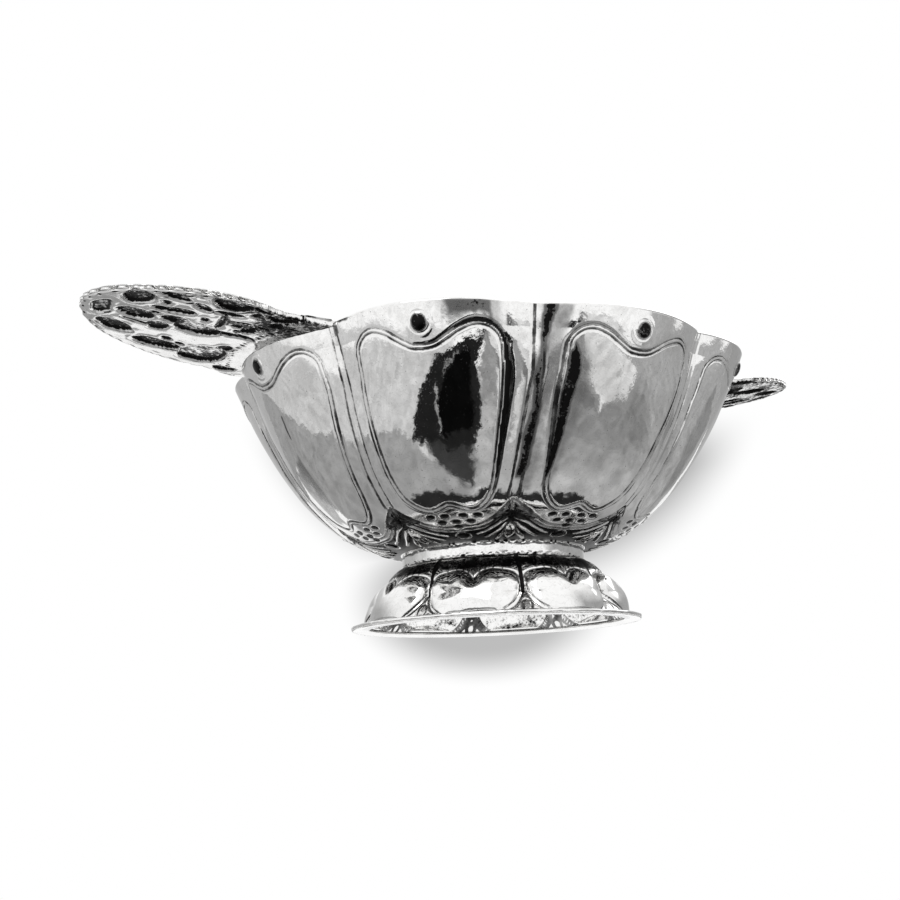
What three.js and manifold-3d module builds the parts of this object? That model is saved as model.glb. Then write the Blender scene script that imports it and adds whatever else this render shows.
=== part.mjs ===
// A two-handled footed silver brandy bowl, in millimetres.
// +X runs along the two handles, +Z is up, and the origin is the centre of the foot's underside.
// It is soldered up from six pieces: the raised bowl, a plain collar band, the raised foot,
// the flat flange that the foot stands on, and two cast handle plates.
import * as THREE from 'three';
import { mergeVertices } from 'three/addons/utils/BufferGeometryUtils.js';
import Module from 'manifold-3d';

const wasm = await Module();
wasm.setup();

// Driving dimensions of the bowl
const lobeCount = 8;
const rimHeight = 76.2;          // from the ground to the rim
const endRadius = 76.3;          // axis to the lobes that carry the handles, at the rim
const sideRadius = 72.8;         // axis to the two lobes between the handles, at the rim
const cornerRadius = 77.3;       // axis to the four lobes in the corners, at the rim
const grooveDepth = 5;           // how far each groove lies inside the lobes, at the rim
const grooveFullDrop = 6.2;      // the grooves keep that depth for this far below the rim
const grooveFadeDrop = 32;       // and grow shallower over this height below that
const grooveLowShare = 0.33;     // their depth low on the wall, as a share of that at the rim
const bowlWall = 1.2;
const bowlBellyWidth = 20.5;     // how far the floor runs out nearly level before it turns up
const bowlBellyRise = 1.7;
const bowlShoulderIn = 12.5;     // how far the upper wall leans in over bowlShoulderDrop
const bowlShoulderDrop = 30.5;
const lobeFadeHeight = 4;        // the lobes run out over this height, just above the collar

// Driving dimensions of the bosses punched out under the rim, one on each lobe
const bossRadius = 3.2;
const bossHeight = 1.8;
const bossBelowRim = 5.7;
const bossRoot = 0.7;            // how far a boss is let into the wall

// Driving dimensions of the collar and the foot
const collarRadius = 26.9;
const collarWall = 2.8;
const collarHeight = 3.7;
const collarRounding = 0.7;
const footHeight = 17.9;         // from the ground to the collar
const footRadius = 38.7;         // axis to the foot's round edge, where it meets the flange
const footGrooveDepth = 2.7;     // how far the grooves lie inside the cushions, at their deepest
const footGrooveRise = 5.8;      // from the flange up to where the grooves are deepest
const footWall = 1.2;
const footShoulder = 4.8;        // how far the foot runs out under the collar before it falls
const footShoulderDrop = 2.4;
const footBelly = 7.6;           // how high the foot's side stays nearly upright
const flangeReach = 3.8;         // how far the flange stands out past the foot's edge
const flangeThickness = 1.2;

// Driving dimensions of the handles
const handleReach = 124;         // axis to each handle's tip
const handleHalfWidth = 27.2;
const handleWaist = 1.2;         // how far the sides draw in beside the rim
const handleShoulder = 88;       // axis to where the outline starts to close
const handleRounding = 1.9;      // power of the curve that closes the outline, 2 is an ellipse
const handleThickness = 2;
const handleEdge = 0.6;          // bevel round the plate's edges
const handleBelowRim = 0.2;      // rim to the plate's upper face, at the root
const handleRise = 8;            // how much the plate climbs from root to tip
const handleBend = 1.15;         // power of the climb, 1 is straight
const solderGap = 0.3;           // clearance between a handle's root and the bowl's wall

// How finely the curved faces are divided
const stepsPerLobe = 10;
const bowlSteps = 13;
const footSteps = 8;
const bossSegments = 16;
const bossSteps = 4;
const handleRootSteps = 9;
const handleTipSteps = 16;
const halvings = 30;             // how often a height on the section is narrowed down

const turns = lobeCount * stepsPerLobe;
const angles = Array.from({ length: turns }, (_, k) => (2 * Math.PI * k) / turns);
const lobeAngles = Array.from({ length: lobeCount }, (_, k) => (2 * Math.PI * k) / lobeCount);

const silver = { color: 0xc8c6c1, roughness: 0.16, metalness: 1 };
const worn = { color: 0xb9b7b2, roughness: 0.24, metalness: 1 };
const cast = { color: 0x9f9d99, roughness: 0.34, metalness: 1 };

function smooth(t) {
  const s = Math.min(Math.max(t, 0), 1);
  return s * s * (3 - 2 * s);
}

// 0 on a lobe's middle and 1 in a groove, where two lobes meet in a crease
function groove(angle) {
  return 1 - Math.abs(Math.cos((lobeCount * angle) / 2));
}

// How deep the grooves lie at a height: full under the rim and shallower low on the wall
function grooveDepthAt(height) {
  const t = Math.min(Math.max((rimHeight - grooveFullDrop - height) / grooveFadeDrop, 0), 1);
  return grooveDepth * (1 - (1 - grooveLowShare) * t);
}

// The bowl's radius at the rim: two sizes of width, drawn out a little in the corners, and lobed
function rimRadius(angle, depth = grooveDepth) {
  const mean = (endRadius + sideRadius) / 4 + cornerRadius / 2;
  const oval = ((endRadius - sideRadius) / 2) * Math.cos(2 * angle);
  const corners = ((endRadius + sideRadius) / 4 - cornerRadius / 2) * Math.cos(4 * angle);
  return mean + oval + corners - depth * groove(angle);
}

// The wall's section through a lobe, from the collar to the rim
const collarTop = footHeight + collarHeight;
const bowlSection = new THREE.CubicBezierCurve(
  new THREE.Vector2(collarRadius, collarTop),
  new THREE.Vector2(collarRadius + bowlBellyWidth, collarTop + bowlBellyRise),
  new THREE.Vector2(endRadius - bowlShoulderIn, rimHeight - bowlShoulderDrop),
  new THREE.Vector2(endRadius, rimHeight),
);

// The foot's section through a lobe, from the flange to the collar
const footSection = new THREE.CubicBezierCurve(
  new THREE.Vector2(footRadius, flangeThickness),
  new THREE.Vector2(footRadius, flangeThickness + footBelly),
  new THREE.Vector2(collarRadius + footShoulder, footHeight - footShoulderDrop),
  new THREE.Vector2(collarRadius, footHeight),
);

// A section's point, moved in across the wall by the given distance
function sectionPoint(section, t, inset) {
  const point = section.getPoint(t);
  const along = section.getTangent(t);
  return new THREE.Vector2(point.x - along.y * inset, point.y + along.x * inset);
}

// One ring of the bowl's wall: round at the collar, lobed above it
function bowlRing(radius, height) {
  const fade = smooth((height - collarTop) / lobeFadeHeight);
  const depth = grooveDepthAt(height);
  return angles.map((angle) => {
    const share = 1 - fade * (1 - rimRadius(angle, depth) / endRadius);
    return new THREE.Vector3(radius * share * Math.cos(angle), radius * share * Math.sin(angle), height);
  });
}

// One ring of the foot: its cushions die away towards the collar and towards the round edge
function footRing(radius, height, lobeHeight = height) {
  const deepest = flangeThickness + footGrooveRise;
  const above = (footHeight - lobeHeight) / (footHeight - deepest);
  const below = (lobeHeight - flangeThickness) / footGrooveRise;
  const share = Math.min(above, below);
  return angles.map((angle) => {
    const r = radius - footGrooveDepth * share * groove(angle);
    return new THREE.Vector3(r * Math.cos(angle), r * Math.sin(angle), height);
  });
}

function roundRing(radius, height) {
  return angles.map((angle) => new THREE.Vector3(radius * Math.cos(angle), radius * Math.sin(angle), height));
}

// A closed body from rings that run up the outside and down the inside.
// A first and last ring of one point close it on the axis, otherwise the last ring meets the first.
function bodyFromRings(rings) {
  const positions = [];
  const starts = rings.map((ring) => {
    const start = positions.length / 3;
    ring.forEach((p) => positions.push(p.x, p.y, p.z));
    return start;
  });
  const faces = [];
  const around = rings[1].length;
  const pairs = rings[0].length === 1 ? rings.length - 1 : rings.length;
  for (let k = 0; k < pairs; k += 1) {
    const next = (k + 1) % rings.length;
    for (let j = 0; j < around; j += 1) {
      const i = (j + 1) % around;
      if (rings[k].length === 1) {
        faces.push(starts[k], starts[next] + i, starts[next] + j);
      } else if (rings[next].length === 1) {
        faces.push(starts[k] + j, starts[k] + i, starts[next]);
      } else {
        faces.push(starts[k] + j, starts[k] + i, starts[next] + i);
        faces.push(starts[k] + j, starts[next] + i, starts[next] + j);
      }
    }
  }
  const geometry = new THREE.BufferGeometry();
  geometry.setAttribute('position', new THREE.Float32BufferAttribute(positions, 3));
  geometry.setIndex(faces);
  return geometry;
}

// Boolean work on closed geometries
function toSolid(geometry) {
  const bare = geometry.clone();
  bare.deleteAttribute('normal');
  bare.deleteAttribute('uv');
  const merged = mergeVertices(bare, 1e-4);
  return new wasm.Manifold(new wasm.Mesh({
    numProp: 3,
    vertProperties: new Float32Array(merged.attributes.position.array),
    triVerts: new Uint32Array(merged.index.array),
  }));
}

function fromSolid(solid) {
  const mesh = solid.getMesh();
  const geometry = new THREE.BufferGeometry();
  geometry.setAttribute('position', new THREE.BufferAttribute(new Float32Array(mesh.vertProperties), 3));
  geometry.setIndex(new THREE.BufferAttribute(new Uint32Array(mesh.triVerts), 1));
  return geometry;
}

// Bowl: one raised shell with a flat floor that the collar is soldered under
function bowlShell() {
  const axisPoint = (height) => [new THREE.Vector3(0, 0, height)];
  const rings = [axisPoint(collarTop)];
  for (let k = 0; k <= bowlSteps; k += 1) {
    const p = sectionPoint(bowlSection, k / bowlSteps, 0);
    rings.push(bowlRing(p.x, p.y));
  }
  rings.push(bowlRing(endRadius - bowlWall, rimHeight));
  for (let k = bowlSteps - 1; k >= 0; k -= 1) {
    const p = sectionPoint(bowlSection, k / bowlSteps, bowlWall);
    rings.push(bowlRing(p.x, p.y));
  }
  rings.push(axisPoint(collarTop + bowlWall));
  return bodyFromRings(rings);
}

// The section's place at a given height, found by halving
function sectionAtHeight(section, height) {
  let low = 0;
  let high = 1;
  for (let k = 0; k < halvings; k += 1) {
    const middle = (low + high) / 2;
    if (section.getPoint(middle).y < height) {
      low = middle;
    } else {
      high = middle;
    }
  }
  return low;
}

// A boss is a low dome on a short root, standing square to the wall
function boss(angle) {
  const profile = [new THREE.Vector2(0, -bossRoot), new THREE.Vector2(bossRadius, -bossRoot)];
  for (let k = 0; k <= bossSteps; k += 1) {
    const a = (Math.PI / 2) * (k / bossSteps);
    profile.push(new THREE.Vector2(bossRadius * Math.cos(a), bossHeight * Math.sin(a)));
  }
  profile[profile.length - 1].x = 0;
  const dome = new THREE.LatheGeometry(profile, bossSegments);
  const t = sectionAtHeight(bowlSection, rimHeight - bossBelowRim);
  const foot = bowlSection.getPoint(t);
  const along = bowlSection.getTangent(t);
  const outward = new THREE.Vector3(along.y * Math.cos(angle), along.y * Math.sin(angle), -along.x);
  const turn = new THREE.Quaternion().setFromUnitVectors(new THREE.Vector3(0, 1, 0), outward);
  const radius = foot.x * (rimRadius(angle) / endRadius);
  dome.applyQuaternion(turn);
  dome.translate(radius * Math.cos(angle), radius * Math.sin(angle), foot.y);
  return dome;
}

function bowlBody() {
  let solid = toSolid(bowlShell());
  lobeAngles.forEach((angle) => {
    solid = solid.add(toSolid(boss(angle)));
  });
  return fromSolid(solid);
}

// Collar: a plain band with rounded edges between the bowl's floor and the foot
function collarRing() {
  const inner = collarRadius - collarWall;
  return bodyFromRings([
    roundRing(collarRadius - collarRounding, footHeight),
    roundRing(collarRadius, footHeight + collarRounding),
    roundRing(collarRadius, collarTop - collarRounding),
    roundRing(collarRadius - collarRounding, collarTop),
    roundRing(inner, collarTop),
    roundRing(inner, footHeight),
  ]);
}

// Foot: a raised shell of cushion-shaped lobes, open below and at the top
function footDome() {
  const rings = [];
  for (let k = 0; k <= footSteps; k += 1) {
    const p = sectionPoint(footSection, k / footSteps, 0);
    rings.push(footRing(p.x, p.y));
  }
  rings.push(roundRing(collarRadius - collarWall, footHeight));
  rings.push(roundRing(collarRadius - collarWall, footHeight - footWall));
  for (let k = footSteps - 1; k > 0; k -= 1) {
    const outer = sectionPoint(footSection, k / footSteps, 0);
    const p = sectionPoint(footSection, k / footSteps, footWall);
    rings.push(footRing(p.x, p.y, outer.y));
  }
  rings.push(roundRing(footRadius - footWall, flangeThickness));
  return bodyFromRings(rings);
}

// Flange: a flat ring under the foot's edge
function footFlange() {
  const flangeRadius = footRadius + flangeReach;
  return bodyFromRings([
    roundRing(flangeRadius, 0),
    roundRing(flangeRadius, flangeThickness),
    roundRing(footRadius - footWall, flangeThickness),
    roundRing(footRadius - footWall, 0),
  ]);
}

// Half the handle's width at a distance from the axis
function handleHalf(x) {
  if (x > handleShoulder) {
    const s = Math.min((x - handleShoulder) / (handleReach - handleShoulder), 1);
    return handleHalfWidth * (1 - s ** handleRounding) ** (1 / handleRounding);
  }
  const root = endRadius - grooveDepth;
  const t = Math.max((x - root) / (handleShoulder - root), 0);
  return handleHalfWidth - handleWaist * Math.sin(Math.PI * t) ** 2;
}

// One cross-section of the plate: level up to the rim, then climbing, with bevelled edges
function handleSection(x) {
  const root = endRadius - grooveDepth;
  const climb = handleRise * (Math.max(x - root, 0) / (handleReach - root)) ** handleBend;
  const middle = rimHeight - handleBelowRim - handleThickness / 2 + climb;
  const half = handleHalf(x);
  const flat = Math.max(half - handleEdge, half / 2);
  const thick = handleThickness / 2;
  const side = thick - handleEdge;
  const corners = [[half, -side], [half, side], [flat, thick], [-flat, thick],
    [-half, side], [-half, -side], [-flat, -thick], [flat, -thick]];
  return corners.map(([y, z]) => new THREE.Vector3(x, y, middle + z));
}

// The space that the bowl and the solder gap take up where the handles meet the wall
function wallSpace() {
  const low = sectionAtHeight(bowlSection, rimHeight - bowlShoulderDrop);
  const rings = [[new THREE.Vector3(0, 0, bowlSection.getPoint(low).y)]];
  for (let k = 0; k <= bowlSteps; k += 1) {
    const p = sectionPoint(bowlSection, k / bowlSteps, 0);
    if (p.y > rimHeight - bowlShoulderDrop) {
      rings.push(bowlRing(p.x + solderGap, p.y));
    }
  }
  const above = rimHeight + handleRise + handleThickness;
  rings.push(bowlRing(endRadius + solderGap, above));
  rings.push([new THREE.Vector3(0, 0, above)]);
  return bodyFromRings(rings);
}

// Handle: a plate that climbs towards its tip, its root cut to the bowl's lobe
function handlePlate(towards) {
  const root = endRadius - grooveDepth;
  const start = root - grooveDepth - bowlWall;
  const stations = [start];
  for (let k = 0; k < handleRootSteps; k += 1) {
    stations.push(root + ((handleShoulder - root) * k) / handleRootSteps);
  }
  for (let k = 0; k < handleTipSteps; k += 1) {
    const out = Math.sin((Math.PI / 2) * (k / handleTipSteps));
    stations.push(handleShoulder + (handleReach - handleShoulder) * out);
  }
  const middleOf = (ring) => [new THREE.Vector3(ring[0].x, 0, (ring[0].z + ring[1].z) / 2)];
  const sections = stations.map(handleSection);
  const plate = bodyFromRings([middleOf(sections[0]), ...sections, middleOf(handleSection(handleReach))]);
  if (towards < 0) {
    plate.rotateZ(Math.PI);
  }
  return fromSolid(toSolid(plate).subtract(toSolid(wallSpace())));
}

function piece(name, geometry, look) {
  const mesh = new THREE.Mesh(geometry, new THREE.MeshStandardMaterial(look));
  mesh.name = name;
  return mesh;
}

const brandyBowl = new THREE.Group();
brandyBowl.add(piece('bowl_body', bowlBody(), silver));
brandyBowl.add(piece('collar_ring', collarRing(), silver));
brandyBowl.add(piece('foot_dome', footDome(), silver));
brandyBowl.add(piece('foot_flange', footFlange(), worn));
brandyBowl.add(piece('handle_left', handlePlate(-1), cast));
brandyBowl.add(piece('handle_right', handlePlate(1), cast));

export default brandyBowl;
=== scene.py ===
"""A lobed silver brandy bowl on a spreading foot, with two cast handles, in a pale studio.

Laid out as an add-on: sizes and colours are properties, and each piece has an operator.
Shapes are worked out in millimetres and become metres when a mesh is made.
"""
import math

import bpy
import numpy as np
from bpy.props import FloatProperty, FloatVectorProperty, PointerProperty
from mathutils import Matrix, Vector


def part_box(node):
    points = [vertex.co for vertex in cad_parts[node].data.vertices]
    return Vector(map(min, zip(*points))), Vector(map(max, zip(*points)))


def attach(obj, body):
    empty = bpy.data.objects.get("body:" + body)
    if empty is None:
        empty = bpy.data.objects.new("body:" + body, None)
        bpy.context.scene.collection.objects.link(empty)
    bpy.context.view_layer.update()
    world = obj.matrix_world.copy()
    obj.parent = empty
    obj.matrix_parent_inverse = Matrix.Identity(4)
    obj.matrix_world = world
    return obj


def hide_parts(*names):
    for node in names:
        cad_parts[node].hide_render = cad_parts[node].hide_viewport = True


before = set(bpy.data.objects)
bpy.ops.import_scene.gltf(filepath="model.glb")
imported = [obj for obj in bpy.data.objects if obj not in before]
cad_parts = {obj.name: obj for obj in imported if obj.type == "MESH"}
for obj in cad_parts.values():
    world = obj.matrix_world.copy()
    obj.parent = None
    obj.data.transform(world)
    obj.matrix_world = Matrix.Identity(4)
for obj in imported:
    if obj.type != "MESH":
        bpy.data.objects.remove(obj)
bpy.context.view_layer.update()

bl_info = {
    "name": "Silver Brandy Bowl",
    "version": (1, 0, 0),
    "blender": (4, 5, 0),
    "location": "3D View > Sidebar > Brandy Bowl",
    "description": "Builds a lobed silver bowl on its foot, with cast handles and a pale studio",
    "category": "Add Mesh",
}

MM = 0.001
LOBES = 8
LOBE_ANGLE = 360.0 / LOBES

BOWL_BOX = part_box("bowl_body")
COLLAR_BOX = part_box("collar_ring")
FOOT_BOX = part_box("foot_dome")
FLANGE_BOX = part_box("foot_flange")
HANDLE_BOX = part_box("handle_right")


# Plain helpers for curves, grids and rings of points

UNLINED = 3.0  # as far from a chased line as is ever counted
NO_TRIANGLES = np.zeros((0, 3), dtype=int)


def smooth(t):
    """Ease from 0 to 1, flat at both ends."""
    s = np.clip(t, 0.0, 1.0)
    return s * s * (3.0 - 2.0 * s)


def fade(value, start, end):
    """0 at start, 1 at end, eased between; start may be the larger."""
    return smooth((value - start) / (end - start))


def creases(angle):
    """0 on a lobe's middle and 1 where two lobes meet."""
    return 1.0 - np.abs(np.cos(LOBES * angle / 2.0))


def ripple(points, wavelength, seed, waves=14):
    """Gentle uneven waves through space, about -1 to 1, the same on every run."""
    rng = np.random.default_rng(seed)
    directions = rng.normal(size=(waves, 3))
    directions /= np.linalg.norm(directions, axis=1)[:, None]
    lengths = wavelength * rng.uniform(0.7, 1.5, waves)
    phases = rng.uniform(0.0, 2.0 * math.pi, waves)
    total = np.zeros(points.shape[:-1])
    for direction, wave, phase in zip(directions, lengths, phases):
        total += np.sin((points @ direction) * (2.0 * math.pi / wave) + phase)
    return total / math.sqrt(waves)


def flat_ripple(x, y, wavelength, seed):
    """The same waves over a plane."""
    return ripple(np.stack([x, y, 0 * x], axis=-1), wavelength, seed)


def dome(inward, width):
    """A quarter round: 0 at an edge, 1 at a width inward from it and beyond."""
    return np.sqrt(1.0 - (1.0 - np.clip(inward / width, 0.0, 1.0)) ** 2)


def path_distance(x, y, path):
    """How far each place is from a path."""
    nearest = np.full(x.shape, np.inf)
    for start, end in zip(path[:-1], path[1:]):
        step = end - start
        from_x, from_y = x - start[0], y - start[1]
        share = np.clip((from_x * step[0] + from_y * step[1]) / max(step @ step, 1e-9), 0.0, 1.0)
        nearest = np.minimum(nearest, np.hypot(from_x - share * step[0], from_y - share * step[1]))
    return nearest


def path_inside(x, y, path):
    """True inside a closed path."""
    inside = np.zeros(x.shape, dtype=bool)
    for (x0, y0), (x1, y1) in zip(path[:-1], path[1:]):
        if y0 != y1:
            crosses = (y > min(y0, y1)) & (y <= max(y0, y1))
            inside ^= crosses & (x < x0 + (y - y0) * (x1 - x0) / (y1 - y0))
    return inside


def soft_inside(x, y, outline, soft):
    """1 inside a closed outline and 0 outside it, eased over a width along its edge."""
    path = np.array([*outline, outline[0]], dtype=float)
    nearest = path_distance(x, y, path)
    return fade(np.where(path_inside(x, y, path), nearest, -nearest), -soft / 2, soft / 2)


def around(radius, angle, height):
    """Points at a radius, an angle and a height round the axis."""
    return np.stack(np.broadcast_arrays(radius * np.cos(angle), radius * np.sin(angle), height), axis=-1)


def headings(columns):
    """Evenly spaced angles round the axis."""
    return np.arange(columns) * 2 * math.pi / columns


def lobe_places(angle):
    """Degrees from the middle of its lobe, and the number of the lobe, for each angle."""
    off = np.degrees(angle + math.pi / LOBES) % LOBE_ANGLE - LOBE_ANGLE / 2
    lobe = np.floor((np.degrees(angle) + LOBE_ANGLE / 2) / LOBE_ANGLE) % LOBES
    return off, lobe


class Section:
    """A wall's section from its lower to its upper end, measured along its length."""

    def __init__(self, corners, samples=2000):
        a, b, c, d = (np.array(p, dtype=float) for p in corners)
        t = np.linspace(0.0, 1.0, samples)[:, None]
        curve = (1 - t) ** 3 * a + 3 * (1 - t) ** 2 * t * b + 3 * (1 - t) * t * t * c + t ** 3 * d
        steps = np.hypot(*np.diff(curve, axis=0).T)
        self.along = np.concatenate([[0.0], np.cumsum(steps)])
        self.radii = curve[:, 0]
        self.heights = curve[:, 1]
        self.length = self.along[-1]

    def radius(self, along):
        """The radius at a length along the section."""
        return np.interp(along, self.along, self.radii)

    def height(self, along):
        """The height at a length along the section."""
        return np.interp(along, self.along, self.heights)

    def along_at(self, height):
        """The length at a height, on a section that only rises."""
        return np.interp(height, self.heights, self.along)


def curve_through(points, steps=12):
    """A smooth line through the given points."""
    p = np.array(points, dtype=float)
    padded = np.vstack([2 * p[0] - p[1], p, 2 * p[-1] - p[-2]])
    t = np.linspace(0.0, 1.0, steps, endpoint=False)[:, None]
    parts = []
    for k in range(len(p) - 1):
        a, b, c, d = padded[k:k + 4]
        parts.append(0.5 * (2 * b + (c - a) * t + (2 * a - 5 * b + 4 * c - d) * t ** 2
                            + (3 * b - a - 3 * c + d) * t ** 3))
    return np.vstack(parts + [p[-1:]])


def petal_outline(base, tip, width, steps=28):
    """A closed pointed oval from base to tip, as wide as given."""
    a = np.array(base, dtype=float)
    b = np.array(tip, dtype=float)
    axis = b - a
    side = np.array([-axis[1], axis[0]]) / np.hypot(*axis)
    t = np.linspace(0.0, 2.0 * math.pi, steps + 1)
    along = 0.5 - 0.5 * np.cos(t)
    bulge = np.sign(np.sin(t)) * np.abs(np.sin(t)) ** 1.2
    return a + along[:, None] * axis + (0.5 * width * bulge)[:, None] * side


def oval_outline(centre, half_across, half_along, steps=24):
    """A closed oval."""
    t = np.linspace(0.0, 2.0 * math.pi, steps + 1)
    return np.stack([centre[0] + half_across * np.cos(t), centre[1] + half_along * np.sin(t)], axis=1)


class Sheet:
    """Half of one lobe laid flat, on which ornament is drawn as distances in millimetres.

    Across runs from the lobe's middle to its crease, and up runs along the section.
    """

    def __init__(self, section, columns=150, step=0.15):
        self.section = section
        self.off = np.linspace(0.0, LOBE_ANGLE / 2.0, columns)
        self.along = np.arange(0.0, section.length + step, step)
        radius = section.radius(self.along)[:, None]
        self.across = np.radians(self.off)[None, :] * radius
        self.from_crease = np.radians(LOBE_ANGLE / 2.0 - self.off)[None, :] * radius
        self.up = np.repeat(self.along[:, None], columns, axis=1)
        self.height = section.height(self.along)[:, None]

    def flat(self, points):
        """Points given as degrees from the lobe's middle and length, on the flat sheet."""
        p = np.array(points, dtype=float)
        return np.stack([np.radians(p[:, 0]) * self.section.radius(p[:, 1]), p[:, 1]], axis=1)

    def at_heights(self, points):
        """Points given as degrees and height, as degrees and length."""
        return [(off, self.section.along_at(height)) for off, height in points]

    def distance(self, path, reach=UNLINED):
        """How far each place is from a path, no more than reach."""
        low, high = path.min(axis=0) - reach, path.max(axis=0) + reach
        near = ((self.across >= low[0]) & (self.across <= high[0])
                & (self.up >= low[1]) & (self.up <= high[1]))
        result = np.full(self.up.shape, reach)
        result[near] = np.minimum(path_distance(self.across[near], self.up[near], path), reach)
        return result

    def inside(self, path):
        """True inside a closed path."""
        return path_inside(self.across, self.up, path)

    def sample(self, field, off, along):
        """A field's value at any place of the whole lobe, off being degrees from its middle."""
        column = np.clip(np.abs(off) / (LOBE_ANGLE / 2.0), 0.0, 1.0) * (len(self.off) - 1)
        row = np.clip(along / (self.along[1] - self.along[0]), 0.0, len(self.along) - 1.001)
        c0 = np.minimum(column.astype(int), len(self.off) - 2)
        r0 = row.astype(int)
        c = column - c0
        r = row - r0
        return ((field[r0, c0] * (1 - c) + field[r0, c0 + 1] * c) * (1 - r)
                + (field[r0 + 1, c0] * (1 - c) + field[r0 + 1, c0 + 1] * c) * r)


class Ornament:
    """Chased lines, raised work and darkened places, gathered on one sheet."""

    def __init__(self, sheet):
        self.sheet = sheet
        self.line = np.full(sheet.up.shape, UNLINED)
        self.raised = np.zeros(sheet.up.shape)
        self.dark = np.zeros(sheet.up.shape)

    def chase(self, distance):
        """Add chased lines, given as each place's distance from them."""
        self.line = np.minimum(self.line, distance)

    def draw(self, points, faint=0.0):
        """Chase a line through points given as degrees from the lobe's middle and length."""
        self.chase(self.sheet.distance(self.sheet.flat(points)) + faint)

    def shade(self, path, level):
        """Give the inside of a closed path one level of tarnish."""
        self.dark = np.where(self.sheet.inside(path), level, self.dark)

    def raise_form(self, path, height, edge=0.7, dark=0.0):
        """A closed form with a chased outline, domed up from its edge and darkened inside."""
        distance = self.sheet.distance(path)
        inside = self.sheet.inside(path)
        self.chase(distance)
        self.raised = np.where(inside, height * dome(distance, edge), self.raised)
        self.dark = np.maximum(self.dark, np.where(inside, dark * fade(distance, 0.15, 0.45), 0.0))


def grid_normals(points):
    """Outward normals of a closed ring of columns, row by row."""
    sideways = np.roll(points, -1, axis=1) - np.roll(points, 1, axis=1)
    normals = np.cross(sideways, np.gradient(points, axis=0))
    return normals / np.maximum(np.linalg.norm(normals, axis=2, keepdims=True), 1e-12)


def ring_faces(rows, columns, joined=False):
    """Four-sided faces between rows of a closed ring; joined also closes the last row to the first."""
    below = np.arange(rows if joined else rows - 1)[:, None]
    above = (below + 1) % rows
    column = np.arange(columns)[None, :]
    following = (column + 1) % columns
    faces = np.stack([below * columns + column, below * columns + following,
                      above * columns + following, above * columns + column], axis=2)
    return faces.reshape(-1, 4)


def add_mesh(name, points, quads, fields, triangles=NO_TRIANGLES):
    """Make one object from points in millimetres, faces and a value of each field per point."""
    old = bpy.data.objects.get(name)
    if old is not None:
        bpy.data.objects.remove(old)
    mesh = bpy.data.meshes.new(name)
    corners = np.concatenate([quads.ravel(), triangles.ravel()]).astype(np.int32)
    starts = np.concatenate([np.arange(len(quads)) * 4, len(quads) * 4 + np.arange(len(triangles)) * 3])
    mesh.vertices.add(len(points))
    mesh.vertices.foreach_set("co", (points * MM).astype(np.float32).ravel())
    mesh.loops.add(len(corners))
    mesh.loops.foreach_set("vertex_index", corners)
    mesh.polygons.add(len(starts))
    mesh.polygons.foreach_set("loop_start", starts.astype(np.int32))
    mesh.update(calc_edges=True)
    for field, values in fields.items():
        attribute = mesh.attributes.new(field, "FLOAT", "POINT")
        attribute.data.foreach_set("value", np.asarray(values, dtype=np.float32).ravel())
    if mesh.validate():
        raise RuntimeError(f"{name} has broken faces")
    mesh.shade_smooth()
    piece = bpy.data.objects.new(name, mesh)
    bpy.context.scene.collection.objects.link(piece)
    return piece


def add_ring_body(name, parts, poles=False):
    """A closed body of rings, in parts that give their rings, distance to a chased line, and how dark each
    is with tarnishing and painted shade.

    With poles, the first and last rings close on the axis.
    """
    rows = np.concatenate([part[0] for part in parts])
    fields = {field: np.concatenate([np.broadcast_to(part[k], part[0].shape[:2]) for part in parts]).ravel()
              for k, field in ((1, "chasing"), (2, "tarnish_and_painted_shade"))}
    count, columns = rows.shape[:2]
    points = rows.reshape(-1, 3)
    quads = ring_faces(count, columns, joined=not poles)
    if not poles:
        return add_mesh(name, points, quads, fields)
    first = len(points)
    last = (count - 1) * columns
    points = np.vstack([points, [[0.0, 0.0, rows[end, :, 2].mean()] for end in (0, -1)]])
    fields = {field: np.append(values, [UNLINED if field == "chasing" else 0.0] * 2)
              for field, values in fields.items()}
    column = np.arange(columns)
    following = (column + 1) % columns
    triangles = np.vstack([
        np.stack([following, column, np.full(columns, first)], axis=1),
        np.stack([last + column, last + following, np.full(columns, first + 1)], axis=1)])
    return add_mesh(name, points, quads, fields, triangles)


# Shader building

class Socket:
    """A value in a shader, so that shader maths reads as plain expressions."""

    def __init__(self, nodes, socket):
        self.nodes = nodes
        self.socket = socket

    def maths(self, operation, first, second=None):
        """The output of one maths node."""
        inputs = {0: first} if second is None else {0: first, 1: second}
        return self.nodes.add("ShaderNodeMath", {"operation": operation}, inputs)

    def __add__(self, other):
        return self.maths("ADD", self, other)

    __radd__ = __add__

    def __sub__(self, other):
        return self.maths("SUBTRACT", self, other)

    def __rsub__(self, other):
        return self.maths("SUBTRACT", other, self)

    def __mul__(self, other):
        return self.maths("MULTIPLY", self, other)

    __rmul__ = __mul__

    def __truediv__(self, other):
        return self.maths("DIVIDE", self, other)

    def __pow__(self, other):
        return self.maths("POWER", self, other)

    def most(self, other):
        """The larger of two values."""
        return self.maths("MAXIMUM", self, other)

    def size(self):
        """The value without its sign."""
        return self.maths("ABSOLUTE", self)

    def eased(self, start, end):
        """0 at start and 1 at end, eased between."""
        return self.nodes.add("ShaderNodeMapRange", {"interpolation_type": "SMOOTHSTEP", "clamp": True},
                              {"Value": self, "From Min": start, "From Max": end})


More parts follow.
